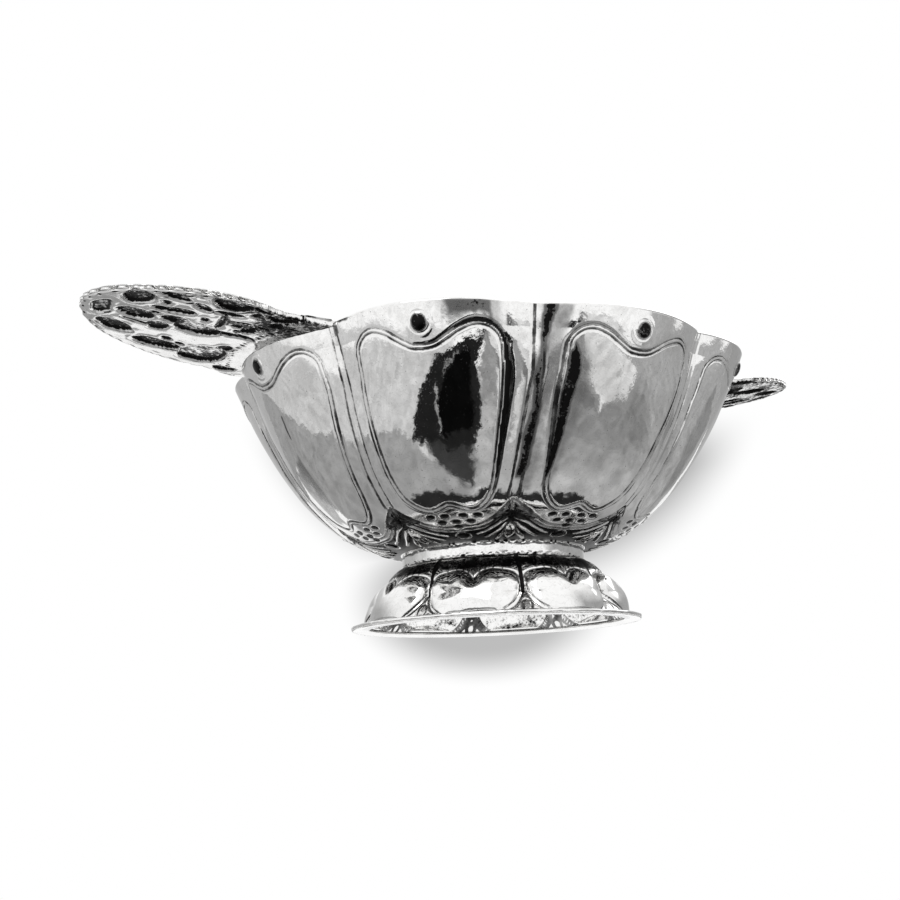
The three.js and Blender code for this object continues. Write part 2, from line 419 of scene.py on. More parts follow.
class Nodes:
    """The node tree of one material or of the world."""

    def __init__(self, tree):
        self.tree = tree
        tree.nodes.clear()

    def add(self, kind, settings=None, inputs=None, output=0):
        """Add a node: its settings first, then the values and links of its sockets."""
        node = self.tree.nodes.new(kind)
        for key, value in (settings or {}).items():
            setattr(node, key, value)
        for key, value in (inputs or {}).items():
            if isinstance(value, Socket):
                self.tree.links.new(value.socket, node.inputs[key])
            else:
                node.inputs[key].default_value = value
        return Socket(self, node.outputs[output]) if len(node.outputs) else node

    def field(self, name):
        """A value that was stored on the mesh's points."""
        return self.add("ShaderNodeAttribute", {"attribute_name": name, "attribute_type": "GEOMETRY"},
                        output="Fac")

    def stretched(self, vector, factors):
        """A vector with each part multiplied by its own factor."""
        return self.add("ShaderNodeVectorMath", {"operation": "MULTIPLY"}, {0: vector, 1: factors})

    def along(self, vector, axis):
        """How far a vector reaches along an axis."""
        return self.add("ShaderNodeVectorMath", {"operation": "DOT_PRODUCT"}, {0: vector, 1: axis},
                        output="Value")

    def noise(self, vector, size, detail=3.0, roughness=0.5, distortion=0.0):
        """Noise whose features are about as large as size, in millimetres."""
        return self.add("ShaderNodeTexNoise", {"noise_dimensions": "3D"}, {
            "Vector": vector, "Scale": 1.0 / (size * MM), "Detail": detail,
            "Roughness": roughness, "Distortion": distortion})

    def mixed(self, factor, first, second):
        """Mix two colours, each a socket or three plain numbers."""
        first, second = (c if isinstance(c, Socket) else (*c, 1.0) for c in (first, second))
        return self.add("ShaderNodeMix", {"data_type": "RGBA"}, {0: factor, 6: first, 7: second}, output=2)

    def show(self, shader, kind="Material"):
        """Lead a shader to the output of a material or of the world."""
        self.add("ShaderNodeOutput" + kind, {}, {"Surface": shader})


def new_material(name):
    """A material with an empty node tree, made once and used again when an operator runs again."""
    material = bpy.data.materials.get(name) or bpy.data.materials.new(name)
    material.use_nodes = True
    return material, Nodes(material.node_tree)


# Finishes of the silver: roughness of the brightest places, height of the small planishing marks,
# how strongly the darkened fields show, height of the fine grain, and how much a film dims the places with
# tarnishing and the painted dark reflections
FINISHES = {
    "bowl_silver_worked": (0.02, 0.022, 0.75, 0.0026, 0.8),
    "collar_silver_plain": (0.07, 0.02, 1.0, 0.004, 0.0),
    "foot_silver_worked": (0.06, 0.02, 1.0, 0.003, 0.0),
    "flange_silver_plain": (0.08, 0.015, 0.9, 0.004, 0.0),
    "handle_silver_cast": (0.12, 0.03, 1.0, 0.010, 0.0),
}


def silver_material(name, colours):
    """Hand-worked silver: polished high places, dark chased lines, soft mottling and fine wear."""
    polish, hammer, patch_noise_strength, grain, film = FINISHES[name]
    material, nodes = new_material(name)
    place = nodes.add("ShaderNodeTexCoord", output="Object")
    broad = nodes.noise(place, 16.0, detail=2.0)
    patchy = nodes.noise(place, 5.0, detail=5.0, roughness=0.62, distortion=0.4)
    fine = nodes.noise(place, 0.7, detail=4.0, roughness=0.6)
    web = nodes.noise(place, 2.4, detail=3.0, distortion=0.8)
    pits = nodes.noise(place, 0.45, detail=1.0).eased(0.72, 0.78)
    rubbed = nodes.noise(nodes.stretched(place, (1.0, 1.0, 0.12)), 0.5, detail=2.0)
    wander = nodes.noise(place, 9.0, detail=4.0, roughness=0.65)

    line = nodes.field("chasing")
    # Darkness from tarnishing in lines and hollows, and in the same field the painted dark reflections and
    # painted shade
    tarnish_and_painted_shade = nodes.field("tarnish_and_painted_shade")
    pressed = wander.eased(0.36, 0.62)
    drawn = 1.0 - (line + (fine - 0.5) * 0.24 - pressed * 0.18 - 0.08).eased(0.0, 0.16)
    dark_line = drawn * (pressed * 0.35 + 0.62)
    beside_line = 1.0 - line.eased(0.3, 1.1)
    # Black patches and a dimming film from the field's tarnishing and its painted dark reflections and
    # shade, broken up by noise
    black_tarnishing_and_shade = (tarnish_and_painted_shade + ((patchy - 0.5) * 0.9 + (fine - 0.5) * 0.7) * patch_noise_strength).eased(0.42, 0.66)
    darkened_reach = tarnish_and_painted_shade.eased(0.0, 0.3)
    film_and_shade_dimmed = (tarnish_and_painted_shade + (patchy - 0.5) * 0.2).eased(0.04, 0.44) * film
    dark = dark_line.most(black_tarnishing_and_shade * darkened_reach).most(pits * 0.7).most(film_and_shade_dimmed)

    dulled = (broad * 0.5 + patchy * 0.5).eased(0.44, 0.64)
    veins = (web - 0.5).size().eased(0.0, 0.05)
    bright = nodes.mixed(dulled * 0.75, colours.polished, colours.dulled)
    veined = nodes.mixed((1.0 - veins) * 0.3, bright, colours.veined)
    edged = nodes.mixed(beside_line * 0.25, veined, colours.dulled)
    base = nodes.mixed(dark, edged, colours.tarnishing_and_shade_black)
    roughness = polish + dulled * 0.03 + rubbed.eased(0.5, 0.8) * 0.03 + dark * 0.30

    marks = nodes.noise(place, 7.0, detail=1.0) * hammer + web * (hammer * 0.55)
    ragged = nodes.noise(place, 1.2, detail=2.0) * (hammer * 0.62)
    wear = fine * grain + rubbed * (grain * 0.6) - pits * (grain * 2.0)
    height = marks + ragged + wear
    normal = nodes.add("ShaderNodeBump", {}, {"Height": height, "Distance": MM, "Strength": 1.0})
    nodes.show(nodes.add("ShaderNodeBsdfPrincipled", {}, {
        "Base Color": base, "Metallic": 1.0, "Roughness": roughness, "Normal": normal}))
    return material


# Sizes and colours that a user would change

def length(name, description, default, low, high):
    """A length in metres."""
    return FloatProperty(name=name, description=description, default=default, min=low, max=high,
                         unit="LENGTH")


def colour(name, description, default):
    """A plain colour."""
    return FloatVectorProperty(name=name, description=description, default=default, size=3,
                               subtype="COLOR", min=0.0, max=1.0)


class Millimetres:
    """The lengths of one group of properties, in millimetres."""

    def __init__(self, group):
        self.group = group

    def __getattr__(self, name):
        return getattr(self.group, name) / MM


class BowlSizes(bpy.types.PropertyGroup):
    """Main sizes of the bowl and its pieces."""

    rim_height: length("Rim height", "From the ground to the rim", BOWL_BOX[1][2], 0.05, 0.12)
    end_radius: length("End radius", "Axis to the lobes that carry the handles", 0.0763, 0.05, 0.12)
    side_radius: length("Side radius", "Axis to the lobes between the handles", BOWL_BOX[1][1], 0.05, 0.12)
    corner_radius: length("Corner radius", "Axis to the four corner lobes", 0.0773, 0.05, 0.12)
    crease_depth: length("Crease depth", "How far the creases lie inside the lobes", 0.005, 0.0, 0.012)
    wall: length("Wall", "Thickness of the silver sheet", 0.0012, 0.0006, 0.003)
    collar_radius: length("Collar radius", "Outside radius of the plain band",
                          COLLAR_BOX[1][0], 0.015, 0.04)
    collar_foot: length("Collar foot", "From the ground to the band", COLLAR_BOX[0][2], 0.01, 0.03)
    collar_top: length("Collar top", "From the ground to the bowl's floor", COLLAR_BOX[1][2], 0.01, 0.04)
    foot_radius: length("Foot radius", "Axis to the cushions' lower edge", FOOT_BOX[1][0], 0.03, 0.06)
    flange_radius: length("Flange radius", "Axis to the flange's edge", FLANGE_BOX[1][0], 0.03, 0.06)
    flange_thickness: length("Flange thickness", "Thickness of the flat ring",
                             FLANGE_BOX[1][2], 0.0006, 0.004)
    handle_reach: length("Handle reach", "Axis to each handle's tip", HANDLE_BOX[1][0], 0.09, 0.16)
    handle_half_width: length("Handle half width", "Half the handle's width",
                              HANDLE_BOX[1][1], 0.015, 0.035)


class BowlWork(bpy.types.PropertyGroup):
    """How deep the silver is worked."""

    line_depth: length("Line depth", "Depth of the chased lines", 0.00026, 0.0, 0.001)
    line_width: length("Line width", "Half width of a chased line", 0.00027, 0.0001, 0.001)
    hammering: length("Hammering", "Height of the uneven waves left by the hammer", 0.00004, 0.0, 0.0005)
    boss_radius: length("Boss radius", "Radius of the bosses under the rim", 0.0024, 0.001, 0.005)
    boss_height: length("Boss height", "How far the bosses stand out", 0.0011, 0.0, 0.003)


class BowlColours(bpy.types.PropertyGroup):
    """Colours of the silver, from bright to black."""

    polished: colour("Polished", "Bright polished silver", (0.965, 0.962, 0.955))
    dulled: colour("Dulled", "Silver with a thin film of tarnish", (0.80, 0.795, 0.785))
    veined: colour("Veined", "The fine net of duller lines", (0.70, 0.695, 0.685))
    # This black is also the colour of the painted dark reflections and painted shade
    tarnishing_and_shade_black: colour("Tarnished", "Black tarnish in lines and hollows", (0.012, 0.0115, 0.0115))
    floor: colour("Floor", "The pale floor", (0.93, 0.93, 0.93))


# The bowl's wall

BOWL_BELLY = (20.5, 1.7)  # how far the floor runs out nearly level, and how far it rises
BOWL_SHOULDER = (12.5, 30.5)  # how far the upper wall leans in, over this height
GROOVE_FULL_DROP = 6.2  # the creases keep their full depth for this far below the rim
GROOVE_FADE_DROP = 32.0  # and grow shallower over this height below that
GROOVE_LOW_SHARE = 0.33  # to this share of the depth
LOBE_RISE = 4.0  # the lobes run out over this height, just above the collar


def bowl_section(sizes):
    """The wall's section through a lobe, from the collar to the rim."""
    collar, floor = sizes.collar_radius, sizes.collar_top
    end, rim = sizes.end_radius, sizes.rim_height
    return Section([(collar, floor), (collar + BOWL_BELLY[0], floor + BOWL_BELLY[1]),
                    (end - BOWL_SHOULDER[0], rim - BOWL_SHOULDER[1]), (end, rim)])


def groove_depth(sizes, height):
    """How deep the creases lie at a height."""
    t = np.clip((sizes.rim_height - GROOVE_FULL_DROP - height) / GROOVE_FADE_DROP, 0.0, 1.0)
    return sizes.crease_depth * (1.0 - (1.0 - GROOVE_LOW_SHARE) * t)


def rim_share(sizes, angle, height):
    """The wall's radius at an angle, as a share of the section's, with the creases of a height."""
    end = sizes.end_radius
    side = sizes.side_radius
    corner = sizes.corner_radius
    mean = (end + side) / 4 + corner / 2
    oval = (end - side) / 2 * np.cos(2 * angle)
    corners = ((end + side) / 4 - corner / 2) * np.cos(4 * angle)
    return (mean + oval + corners - groove_depth(sizes, height) * creases(angle)) / end


# How the hand-worked lobes stray from an even spacing: degrees round the wall, and degrees of
# drift above and below
DRIFT = ((-180, -2.0, -5.0), (-162, -1.6, -5.3), (-157.5, -0.9, -3.5), (-153, -0.4, -2.8),
         (-135, -2.6, -4.0), (-117, -3.6, -5.2), (-112.5, -0.3, -4.6), (-108, 1.4, -1.5),
         (-90, 1.2, -0.95), (-72, 2.1, 1.0), (-67.5, 1.7, 0.3), (-63, 1.4, -0.4), (-45, 1.0, 0.0),
         (-22.5, 0.5, 0.0), (0, 0.0, 0.0), (90, 0.0, 0.0), (135, 0.0, -0.5), (157.5, -0.5, -2.0),
         (162, -1.0, -3.0), (180, -2.0, -5.0))
DRIFT_TOP = 60.0  # the upper drift passes into the lower one below this height
DRIFT_DROP = 24.0


def lobe_drift(angle, height):
    """How far the lobes are drawn round the wall, in radians."""
    places, above, below = np.array(DRIFT, dtype=float).T
    degrees = (np.degrees(angle) + 180.0) % 360.0 - 180.0
    upper = np.interp(degrees, places, above)
    lower = np.interp(degrees, places, below)
    return np.radians(upper + (lower - upper) * np.clip((DRIFT_TOP - height) / DRIFT_DROP, 0.0, 1.2))


def bowl_points(sizes, section, angle, along):
    """The outside of the bowl's wall before any chasing."""
    height = section.height(along)
    rise = smooth((height - sizes.collar_top) / LOBE_RISE)
    share = 1.0 - rise * (1.0 - rim_share(sizes, angle, height))
    return around(section.radius(along) * share, angle + lobe_drift(angle, height), height)


# A panel's edge on half a lobe, as degrees from its middle and height: dipping in the middle of its
# top, full at the shoulders, straight down beside the crease and rounded at the bottom
PANEL_EDGE = ((0.0, 65.3), (2.6, 65.7), (5.4, 67.3), (8.4, 69.3), (12.0, 70.6), (15.0, 69.9),
              (17.2, 67.4), (17.7, 63.5), (18.0, 57.0), (17.8, 50.0), (17.5, 45.0), (17.0, 38.0),
              (16.2, 33.2), (14.4, 30.4), (11.2, 28.6), (7.8, 28.0), (4.6, 28.4), (2.2, 29.0),
              (0.8, 29.3), (0.0, 29.3))
PANEL_BAND = 0.60  # half the width of the band along a panel's edge
CREASE_BAND = 1.0  # half the width of the band down each crease
CREASE_SPLIT = 21.5  # length at which that band divides round the leaf
BOSS_BELOW_RIM = 5.3
BOSS_MOAT = 0.9  # how far outside a boss the low ridge round it stands

# Work round the bowl's floor, as degrees from a lobe's middle and length from the collar
LEAF_EDGE = ((22.5, 21.8), (21.4, 20.6), (20.4, 19.2), (20.9, 18.4), (19.1, 17.4), (18.0, 16.3),
             (18.7, 15.7), (16.3, 15.4), (14.4, 14.2), (17.0, 13.9), (19.6, 14.5), (22.5, 15.6))
LEAF_VEINS = (((22.5, 21.0), (22.5, 16.2)), ((22.2, 18.6), (20.7, 17.2)), ((22.2, 17.2), (19.6, 15.6)),
              ((21.8, 16.4), (18.4, 14.9)))
UNDER_LEAF = ((22.5, 14.9), (19.0, 13.8), (14.8, 11.6), (12.4, 9.9), (10.6, 8.6))
DROPS = ((3.65, 16.0), (0.0, 13.4), (6.0, 13.4), (0.0, 11.1), (9.4, 15.9))
SWEEPS = (((21.0, 14.6), (17.0, 11.4), (12.0, 8.6), (7.5, 7.0)),
          ((21.4, 12.4), (18.6, 9.0), (15.4, 6.6), (11.4, 4.6)),
          ((21.9, 10.4), (20.2, 7.0), (18.6, 4.8), (17.2, 2.4)))
FAN_PETAL = ((22.5, 12.9), (22.5, 3.0))
BEAD = (0.0, 5.9)
# Half sizes of a form's bright rim and of the dark form in it, the form's height and rounded edge
DROP_FORM = ((1.8, 1.3), (1.25, 0.8), -0.12, 0.5)
BEAD_FORM = ((2.5, 2.6), (1.9, 1.8), 0.25, 1.2)
BELT_REACH = 21.8  # degrees from a lobe's middle to where the belt's lines end
BELT_GROUND = (0.95, 0.22)  # tarnish below the belt's lines and above them


def belt_line(off, start, climb):
    """Length at which a line of the belt lies, climbing from the lobe's middle to its crease."""
    return start + climb * (np.clip(off, 0.0, BELT_REACH) / BELT_REACH) ** 3


def bowl_ornament(sizes, work, section):
    """The chasing of one lobe: panel, crease bands, boss, and the belt of work round the floor."""
    sheet = Sheet(section)
    chased = Ornament(sheet)
    path = sheet.flat(curve_through(sheet.at_heights(PANEL_EDGE)))
    panel = sheet.distance(path)
    within = sheet.inside(np.vstack([path, path[:1]]))
    chased.chase(np.abs(panel - PANEL_BAND))
    chased.outer = np.where(within, UNLINED, np.abs(panel - PANEL_BAND))
    chased.raised += 0.22 * (1.0 - smooth(panel / (PANEL_BAND + 0.25)))
    chased.chase(np.where(sheet.up > CREASE_SPLIT, np.abs(sheet.from_crease - CREASE_BAND), UNLINED))

    reach = np.linspace(0.0, BELT_REACH, 30)
    chased.draw(np.stack([reach, belt_line(reach, 11.0, 10.3)], axis=1))
    outer = sheet.distance(sheet.flat(np.stack([reach, belt_line(reach, 8.9, 9.0)], axis=1)))
    chased.chase(np.abs(outer - 0.45))
    chased.raised += 0.14 * (1.0 - smooth(outer / 0.7))
    chased.draw(curve_through(UNDER_LEAF))

    belt = fade(sheet.up, 21.0, 15.5) * fade(sheet.up, 0.2, 0.6)
    chased.dark = np.where(sheet.up < belt_line(sheet.off, 8.6, 9.0), *BELT_GROUND) * belt
    for sweep in SWEEPS:
        curl = sheet.distance(sheet.flat(curve_through(sweep)))
        chased.raised = np.maximum(chased.raised, 0.40 * (1.0 - smooth(curl / 0.7)))
        chased.dark = np.where(curl < 0.42, 0.0, chased.dark)
    petal = petal_outline(*sheet.flat(FAN_PETAL), 2.4)
    chased.shade(petal, 0.0)
    chased.raise_form(petal, 0.45, edge=0.9)
    chased.raise_form(sheet.flat([*LEAF_EDGE, LEAF_EDGE[0]]), 0.35, edge=0.8, dark=0.70)
    for vein in LEAF_VEINS:
        chased.draw(vein)
    forms = [(drop, DROP_FORM) for drop in DROPS] + [(BEAD, BEAD_FORM)]
    for place, (rim, dark_form, height, edge) in forms:
        centre = sheet.flat([place])[0]
        chased.shade(oval_outline(centre, *rim), 0.0)
        form = oval_outline(centre, *dark_form)
        chased.raise_form(form, height, edge=edge)
        chased.shade(form, 1.0)

    boss_along = section.along_at(sizes.rim_height - BOSS_BELOW_RIM)
    from_boss = np.hypot(sheet.across, sheet.up - boss_along)
    radius = work.boss_radius
    wall = 1.0 - smooth(np.abs(from_boss - radius - BOSS_MOAT) / BOSS_MOAT)
    chased.raised += work.boss_height * dome(radius - from_boss, radius) + 0.10 * wall
    # Painted dark reflection on each boss's crown
    chased.dark = np.maximum(chased.dark, 0.74 * fade(from_boss, radius + 0.1, radius - 0.5))
    return chased


# Painted dark reflections, laid on the wall as dark marks: strength, width over which the outline is eased,
# and the outline as degrees round the wall and height
PAINTED_REFLECTIONS = (
    (0.1, 2.6, ((-116.6, 66.5), (-114, 72.5), (-112.6, 72.5), (-112.4, 32), (-116, 34.5), (-116.2, 44),
        (-115.6, 50), (-116, 58))),
    (0.25, 2.4, ((-112.4, 78), (-112.4, 32), (-109, 31), (-108.9, 48), (-109, 60), (-107.9, 69),
        (-106, 78))),
    (0.7, 1.5, ((-111.9, 77.5), (-112.1, 69.5), (-112.9, 60), (-112.6, 50.4), (-112.7, 41.1),
        (-113, 35.4), (-111.6, 35.2), (-110.8, 37.9), (-110.6, 44.3), (-111.2, 53.7), (-111.6, 60),
        (-111.4, 66.4), (-110.6, 70), (-109.4, 77.5))),
    (0.24, 3.4, ((-106.4, 67.5), (-107.6, 64), (-107.6, 52), (-107.4, 42), (-107, 32), (-103.6, 33),
        (-102, 46), (-101.2, 56), (-102.2, 64), (-104.4, 67.6))),
    (0.74, 1.4, ((-106.1, 67.1), (-107.4, 64.2), (-107.8, 59.5), (-107.8, 52.8), (-107.7, 46.9),
        (-107.6, 42), (-107.3, 36.5), (-106.6, 33), (-105.6, 37), (-105, 42.1), (-105, 47),
        (-104.7, 51.7), (-104.5, 55.2), (-104.3, 59.5), (-104.9, 64.3))),
    (0.24, 5, ((-132.6, 79), (-130, 70.4), (-124.4, 72.2), (-118, 70.6), (-116.6, 79))),
    (0.6, 4, ((-130.2, 79), (-128.8, 71.2), (-124.4, 72.6), (-120, 71.6), (-120.2, 79))),
    (0.95, 0.8, ((-156.4, 76.2), (-156, 75.4), (-151, 75.2), (-146.5, 75.8), (-146.5, 76.2))),
    (0.66, 0.8, ((-157, 75.8), (-157, 70.8), (-155.9, 71.6), (-155.8, 75.8))),
    (0.3, 2, ((-180.8, 47.4), (-180.1, 43.3), (-179.8, 37.9), (-181.4, 32.8), (-185.3, 29),
        (-192.3, 29.5), (-191.6, 34.6), (-191.8, 39.2), (-189.9, 43.9))),
    (0.62, 0.6, ((-179.9, 58), (-179.3, 57.6), (-180, 51.6), (-180.6, 51.8))),
    (0.8, 0.8, ((24, 76.2), (24.2, 75.4), (31, 75.2), (31.5, 76.2))),
    (0.7, 0.8, ((66.6, 76.2), (66.4, 71), (67.8, 70.4), (69.6, 76.2))),
    (0.62, 0.8, ((112.4, 76.2), (111.8, 66), (113.6, 60), (114.2, 70), (116.8, 76.2))),
)


def painted_reflection_dark(angle, height):
    """How dark the painted reflections make the wall at each place."""
    degrees = (np.degrees(angle) + 200.0) % 360.0 - 200.0
    place = (degrees * 1.3, height)
    across = degrees + 0.25 * flat_ripple(*place, 12.0, 91) + 0.10 * flat_ripple(*place, 2.5, 92)
    up = height + 1.0 * flat_ripple(*place, 9.0, 93) + 0.3 * flat_ripple(*place, 2.5, 94)
    dark = np.zeros(angle.shape)
    for strength, soft, outline in PAINTED_REFLECTIONS:
        dark = np.maximum(dark, strength * soft_inside(across, up, outline, soft))
    return dark


# Where the chased lines are faint: heading in degrees, how faint, and the cosines of the turn away
# from it at which that starts and is full
FAINT_LINES = ((-38.0, 0.13, 0.70, 0.90), (157.5, 0.15, 0.975, 0.990))
HEAVY_LOBE = 5  # the lobe whose panel has the heaviest outer line


def stroke_width(lobe, off, along):
    """How much wider than a plain line the outer line of each panel was struck."""
    side = np.where(lobe % 2 == 1, 1.0, -1.0)
    heavy = fade(off * side, 1.0, 12.0) * fade(along, 22.0, 34.0)
    return 0.08 + 0.44 * heavy * np.where(lobe == HEAVY_LOBE, 1.0, 0.35)


def drawn_on_lobes(chased, angle, along):
    """One lobe's lines, relief, tarnishing and the painted dark reflection on its boss, drawn a little
    unsteadily on every lobe.
    """
    sheet = chased.sheet
    off, lobe = lobe_places(angle)
    unsteady = np.stack([off * 0.9 + lobe * 97.0, along, lobe * 31.0], axis=-1)
    drawn_off = off + fade(np.abs(off), 22.0, 17.0) * ripple(unsteady, 34.0, 3) * 0.35
    drawn_along = along + ripple(unsteady, 30.0, 4) * 0.22 * fade(along, 1.0, 6.0)
    line, outer, raised, dark = (sheet.sample(field, drawn_off, drawn_along)
                                 for field in (chased.line, chased.outer, chased.raised, chased.dark))
    stroke = stroke_width(lobe, off, along)
    line = np.minimum(line, np.maximum(outer - stroke, 0.0) + 0.05)
    struck = 0.9 * fade(outer, stroke + 0.12, stroke - 0.06) * fade(stroke, 0.26, 0.36)
    return line, raised, np.maximum(dark, struck)


BELT_RINGS = 96  # rings of points in the chased belt
BELT_STEP = 0.25
PANEL_STEP = 0.8
RIM_START = 58.0  # length at which the rings come close together again
RIM_STEP = 0.32
RIM_CROWN = 0.42  # how high the rim is rounded
RIM_TURNS = (30.0, 60.0, 90.0, 120.0, 150.0)


def wall_stations(section):
    """Where the bowl's rings lie: close together in the chased belt and near the rim."""
    belt_top = BELT_RINGS * BELT_STEP
    return np.concatenate([np.arange(BELT_RINGS) * BELT_STEP, np.arange(belt_top, RIM_START, PANEL_STEP),
                           np.arange(RIM_START, section.length - 0.35, RIM_STEP)])


def floor_rings(edge, rings):
    """Flat rings from near the axis out to just inside an edge ring."""
    flat = np.linspace(0.03, 0.97, rings)[:, None, None] * edge
    flat[:, :, 2] = edge[:, 2].mean()
    return flat


class BRANDY_OT_bowl(bpy.types.Operator):
    """Raise the lobed bowl with its chased panels, bosses and belt of leaves"""
    bl_idname = "brandy.make_bowl"
    bl_label = "Bowl"

    columns = 1120

    def execute(self, context):
        scene = context.scene
        sizes, work = Millimetres(scene.bowl_sizes), Millimetres(scene.bowl_work)
        section = bowl_section(sizes)
        chased = bowl_ornament(sizes, work, section)
        angle, along = np.meshgrid(headings(self.columns), wall_stations(section))
        line, raised, dark = drawn_on_lobes(chased, angle, along)
        # Painted dark reflections laid over the chased work
        dark = np.maximum(dark, painted_reflection_dark(angle, section.height(along)))
        for heading, faint, start, full in FAINT_LINES:
            line = line + faint * fade(np.cos(angle - math.radians(heading)), start, full)

        base = bowl_points(sizes, section, angle, along)
        normals = grid_normals(base)
        calm = fade(along, 2.0, 12.0)
        waves = work.hammering * (ripple(base, 13.0, 11) + 0.5 * ripple(base, 6.5, 12)) * calm
        depth = work.line_depth * np.exp(-(line / work.line_width) ** 2)
        outside = base + normals * (waves + raised - depth)[..., None]
        flow = raised * 0.25 * fade(along, 20.0, 30.0)
        inside = base + normals * (waves * 0.6 + flow - sizes.wall)[..., None]
        inside[0, :, 2] = sizes.collar_top + sizes.wall

        keep = np.r_[0:BELT_RINGS:5, BELT_RINGS:len(along) - 1:3, len(along) - 1]
        inner = inside[keep][::-1]
        inner_line = np.clip(line[keep][::-1] + 0.55, 0.0, UNLINED)
        middle = (outside[-1] + inner[0]) / 2
        half = (outside[-1] - inner[0]) / 2
        turn = np.radians(RIM_TURNS)[:, None, None]
        rim = middle + half * np.cos(turn) + np.array([0.0, 0.0, RIM_CROWN]) * np.sin(turn)
        piece = add_ring_body("raised_bowl", (
            (floor_rings(outside[0], 5), UNLINED, 0.6), (outside, line, dark), (rim, UNLINED, 0.0),
            (inner, inner_line, 0.1), (floor_rings(inner[-1], 14)[::-1], UNLINED, 0.15)), poles=True)
        piece.data.materials.append(silver_material("bowl_silver_worked", scene.bowl_colours))
        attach(piece, "root")
        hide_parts("bowl_body")
        return {"FINISHED"}


# The collar

COLLAR_WALL = 2.8
COLLAR_INSET = 0.25  # room for the band's swell and its lumps of solder


class BRANDY_OT_collar(bpy.types.Operator):
    """Make the plain band between bowl and foot, with its ragged solder lines"""
    bl_idname = "brandy.make_collar"
    bl_label = "Collar"

    columns = 720

    def execute(self, context):
        scene = context.scene
        sizes = Millimetres(scene.bowl_sizes)
        radius = sizes.collar_radius
        bottom, top = sizes.collar_foot, sizes.collar_top
        angle = headings(self.columns)
        share = np.linspace(0.0, 1.0, 26)[:, None]
        height = bottom + (top - bottom) * share
        edge = np.minimum(share, 1 - share) * (top - bottom)
        place = around(radius, angle, height)
        solder = fade(edge + 0.22 * ripple(place, 2.4, 24), 0.7, 0.1)
        lumps = ripple(place, 1.6, 21) * 0.5 + ripple(place, 0.8, 22) * 0.4
        swell = 0.16 * np.sin(math.pi * share) + 0.05 * ripple(place, 6.0, 23)
        outer = around(radius - COLLAR_INSET + swell + solder * 0.16 * lumps, angle, height)
        inner = around(radius - COLLAR_WALL, angle, np.array([[top], [bottom]]))
        piece = add_ring_body("plain_collar", (
            (outer, UNLINED, solder * np.clip(0.42 + 0.5 * lumps, 0.0, 1.0)), (inner, UNLINED, 0.5)))
        piece.data.materials.append(silver_material("collar_silver_plain", scene.bowl_colours))
        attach(piece, "root")
        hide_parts("collar_ring")
        return {"FINISHED"}


# The foot and its flange

FOOT_BELLY = 7.6  # how high the foot's side stays nearly upright
FOOT_SHOULDER = (4.8, 2.4)  # how far the foot runs out under the collar before it falls
FOOT_LIP = 1.2  # thickness at the collar
FOOT_RINGS = 72
FOOT_GROOVE_DEPTH = 2.7  # how far the creases lie inside the cushions, at their deepest
FOOT_GROOVE_RISE = 5.8  # from the flange up to where they are deepest
CREASE_CUT = 1.5  # how much deeper the ground between the cushions is sunk
CUSHION_BULGE = 0.7
CUSHION_ROUND = 2.6  # width over which a cushion rounds up from its edge
# A cushion's edge on half a lobe, as degrees from its middle and height above the ground
CUSHION_EDGE = ((0.0, 9.8), (1.6, 10.7), (4.0, 12.0), (8.0, 12.8), (13.0, 12.6), (18.0, 11.9),
                (20.7, 10.4), (21.4, 8.4), (20.7, 6.3), (18.4, 4.1), (15.4, 2.4), (12.0, 1.2))
TEARDROP = ((22.5, 4.4), (20.9, 3.9), (20.5, 2.7), (20.9, 1.2))
# Short rays above a cushion: degrees from its middle, and the heights of both ends
NECK_RAYS = ((0.0, 10.9, 14.0), (2.6, 12.1, 14.4), (5.2, 13.0, 14.6), (9.0, 13.6, 14.9),
             (13.5, 13.5, 14.8))
NECK_SPREAD = 1.04


def foot_section(sizes):
    """The foot's section through a cushion, from the flange to the collar."""
    radius = sizes.foot_radius
    ledge = sizes.flange_thickness
    collar = sizes.collar_radius
    top = sizes.collar_foot
    return Section([(radius, ledge), (radius, ledge + FOOT_BELLY),
                    (collar + FOOT_SHOULDER[0], top - FOOT_SHOULDER[1]), (collar, top)])


def foot_ornament(section):
    """The foot's cushions and the chasing round them, on one half lobe."""
    sheet = Sheet(section, columns=120, step=0.12)
    chased = Ornament(sheet)
    path = sheet.flat(curve_through(sheet.at_heights(CUSHION_EDGE)))
    closed = np.vstack([path, [[0.0, 0.0]], path[:1]])
    distance = sheet.distance(path, reach=8.0)
    inside = sheet.inside(closed)
    chased.chase(np.where(inside, np.abs(distance - 0.1), np.abs(distance - 0.75)))
    chased.cushion = np.where(inside, dome(distance, CUSHION_ROUND), 0.0)
    chased.chase(sheet.distance(curve_through(sheet.flat(sheet.at_heights(TEARDROP)))))
    for off, low, high in NECK_RAYS:
        chased.draw(sheet.at_heights([(off, low), (off * NECK_SPREAD, high)]), faint=0.12)
    strip = fade(sheet.from_crease, 0.9, 0.3) * fade(sheet.height, 5.2, 7.2)
    neck = fade(sheet.height, 12.8, 14.4) * fade(sheet.height, 17.3, 16.7) * np.where(inside, 0.4, 1.0)
    seam = fade(sheet.height, 1.75, 1.35)
    chased.dark = np.clip(0.8 * strip + 0.5 * neck + 0.8 * seam + np.where(inside, 0.0, 0.16), 0.0, 1.0)
    return chased


def foot_radius_at(sizes, section, sheet, cushion, off, along, angle):
    """The foot's radius: full cushions, with the ground between them sunk in."""
    height = section.height(along)
    top = sizes.collar_foot
    ledge = sizes.flange_thickness
    deepest = ledge + FOOT_GROOVE_RISE
    share = np.minimum((top - height) / (top - deepest), (height - ledge) / FOOT_GROOVE_RISE)
    share = np.clip(share, 0.0, 1.0)
    raised = sheet.sample(cushion, off, along)
    sunk = FOOT_GROOVE_DEPTH * share * creases(angle) + CREASE_CUT * share * (1.0 - raised)
    rise = np.clip((height - ledge) / (top - ledge), 0.0, 1.0)
    bulge = CUSHION_BULGE * raised * np.sin(math.pi * rise) ** 0.7
    return section.radius(along) - sunk + bulge


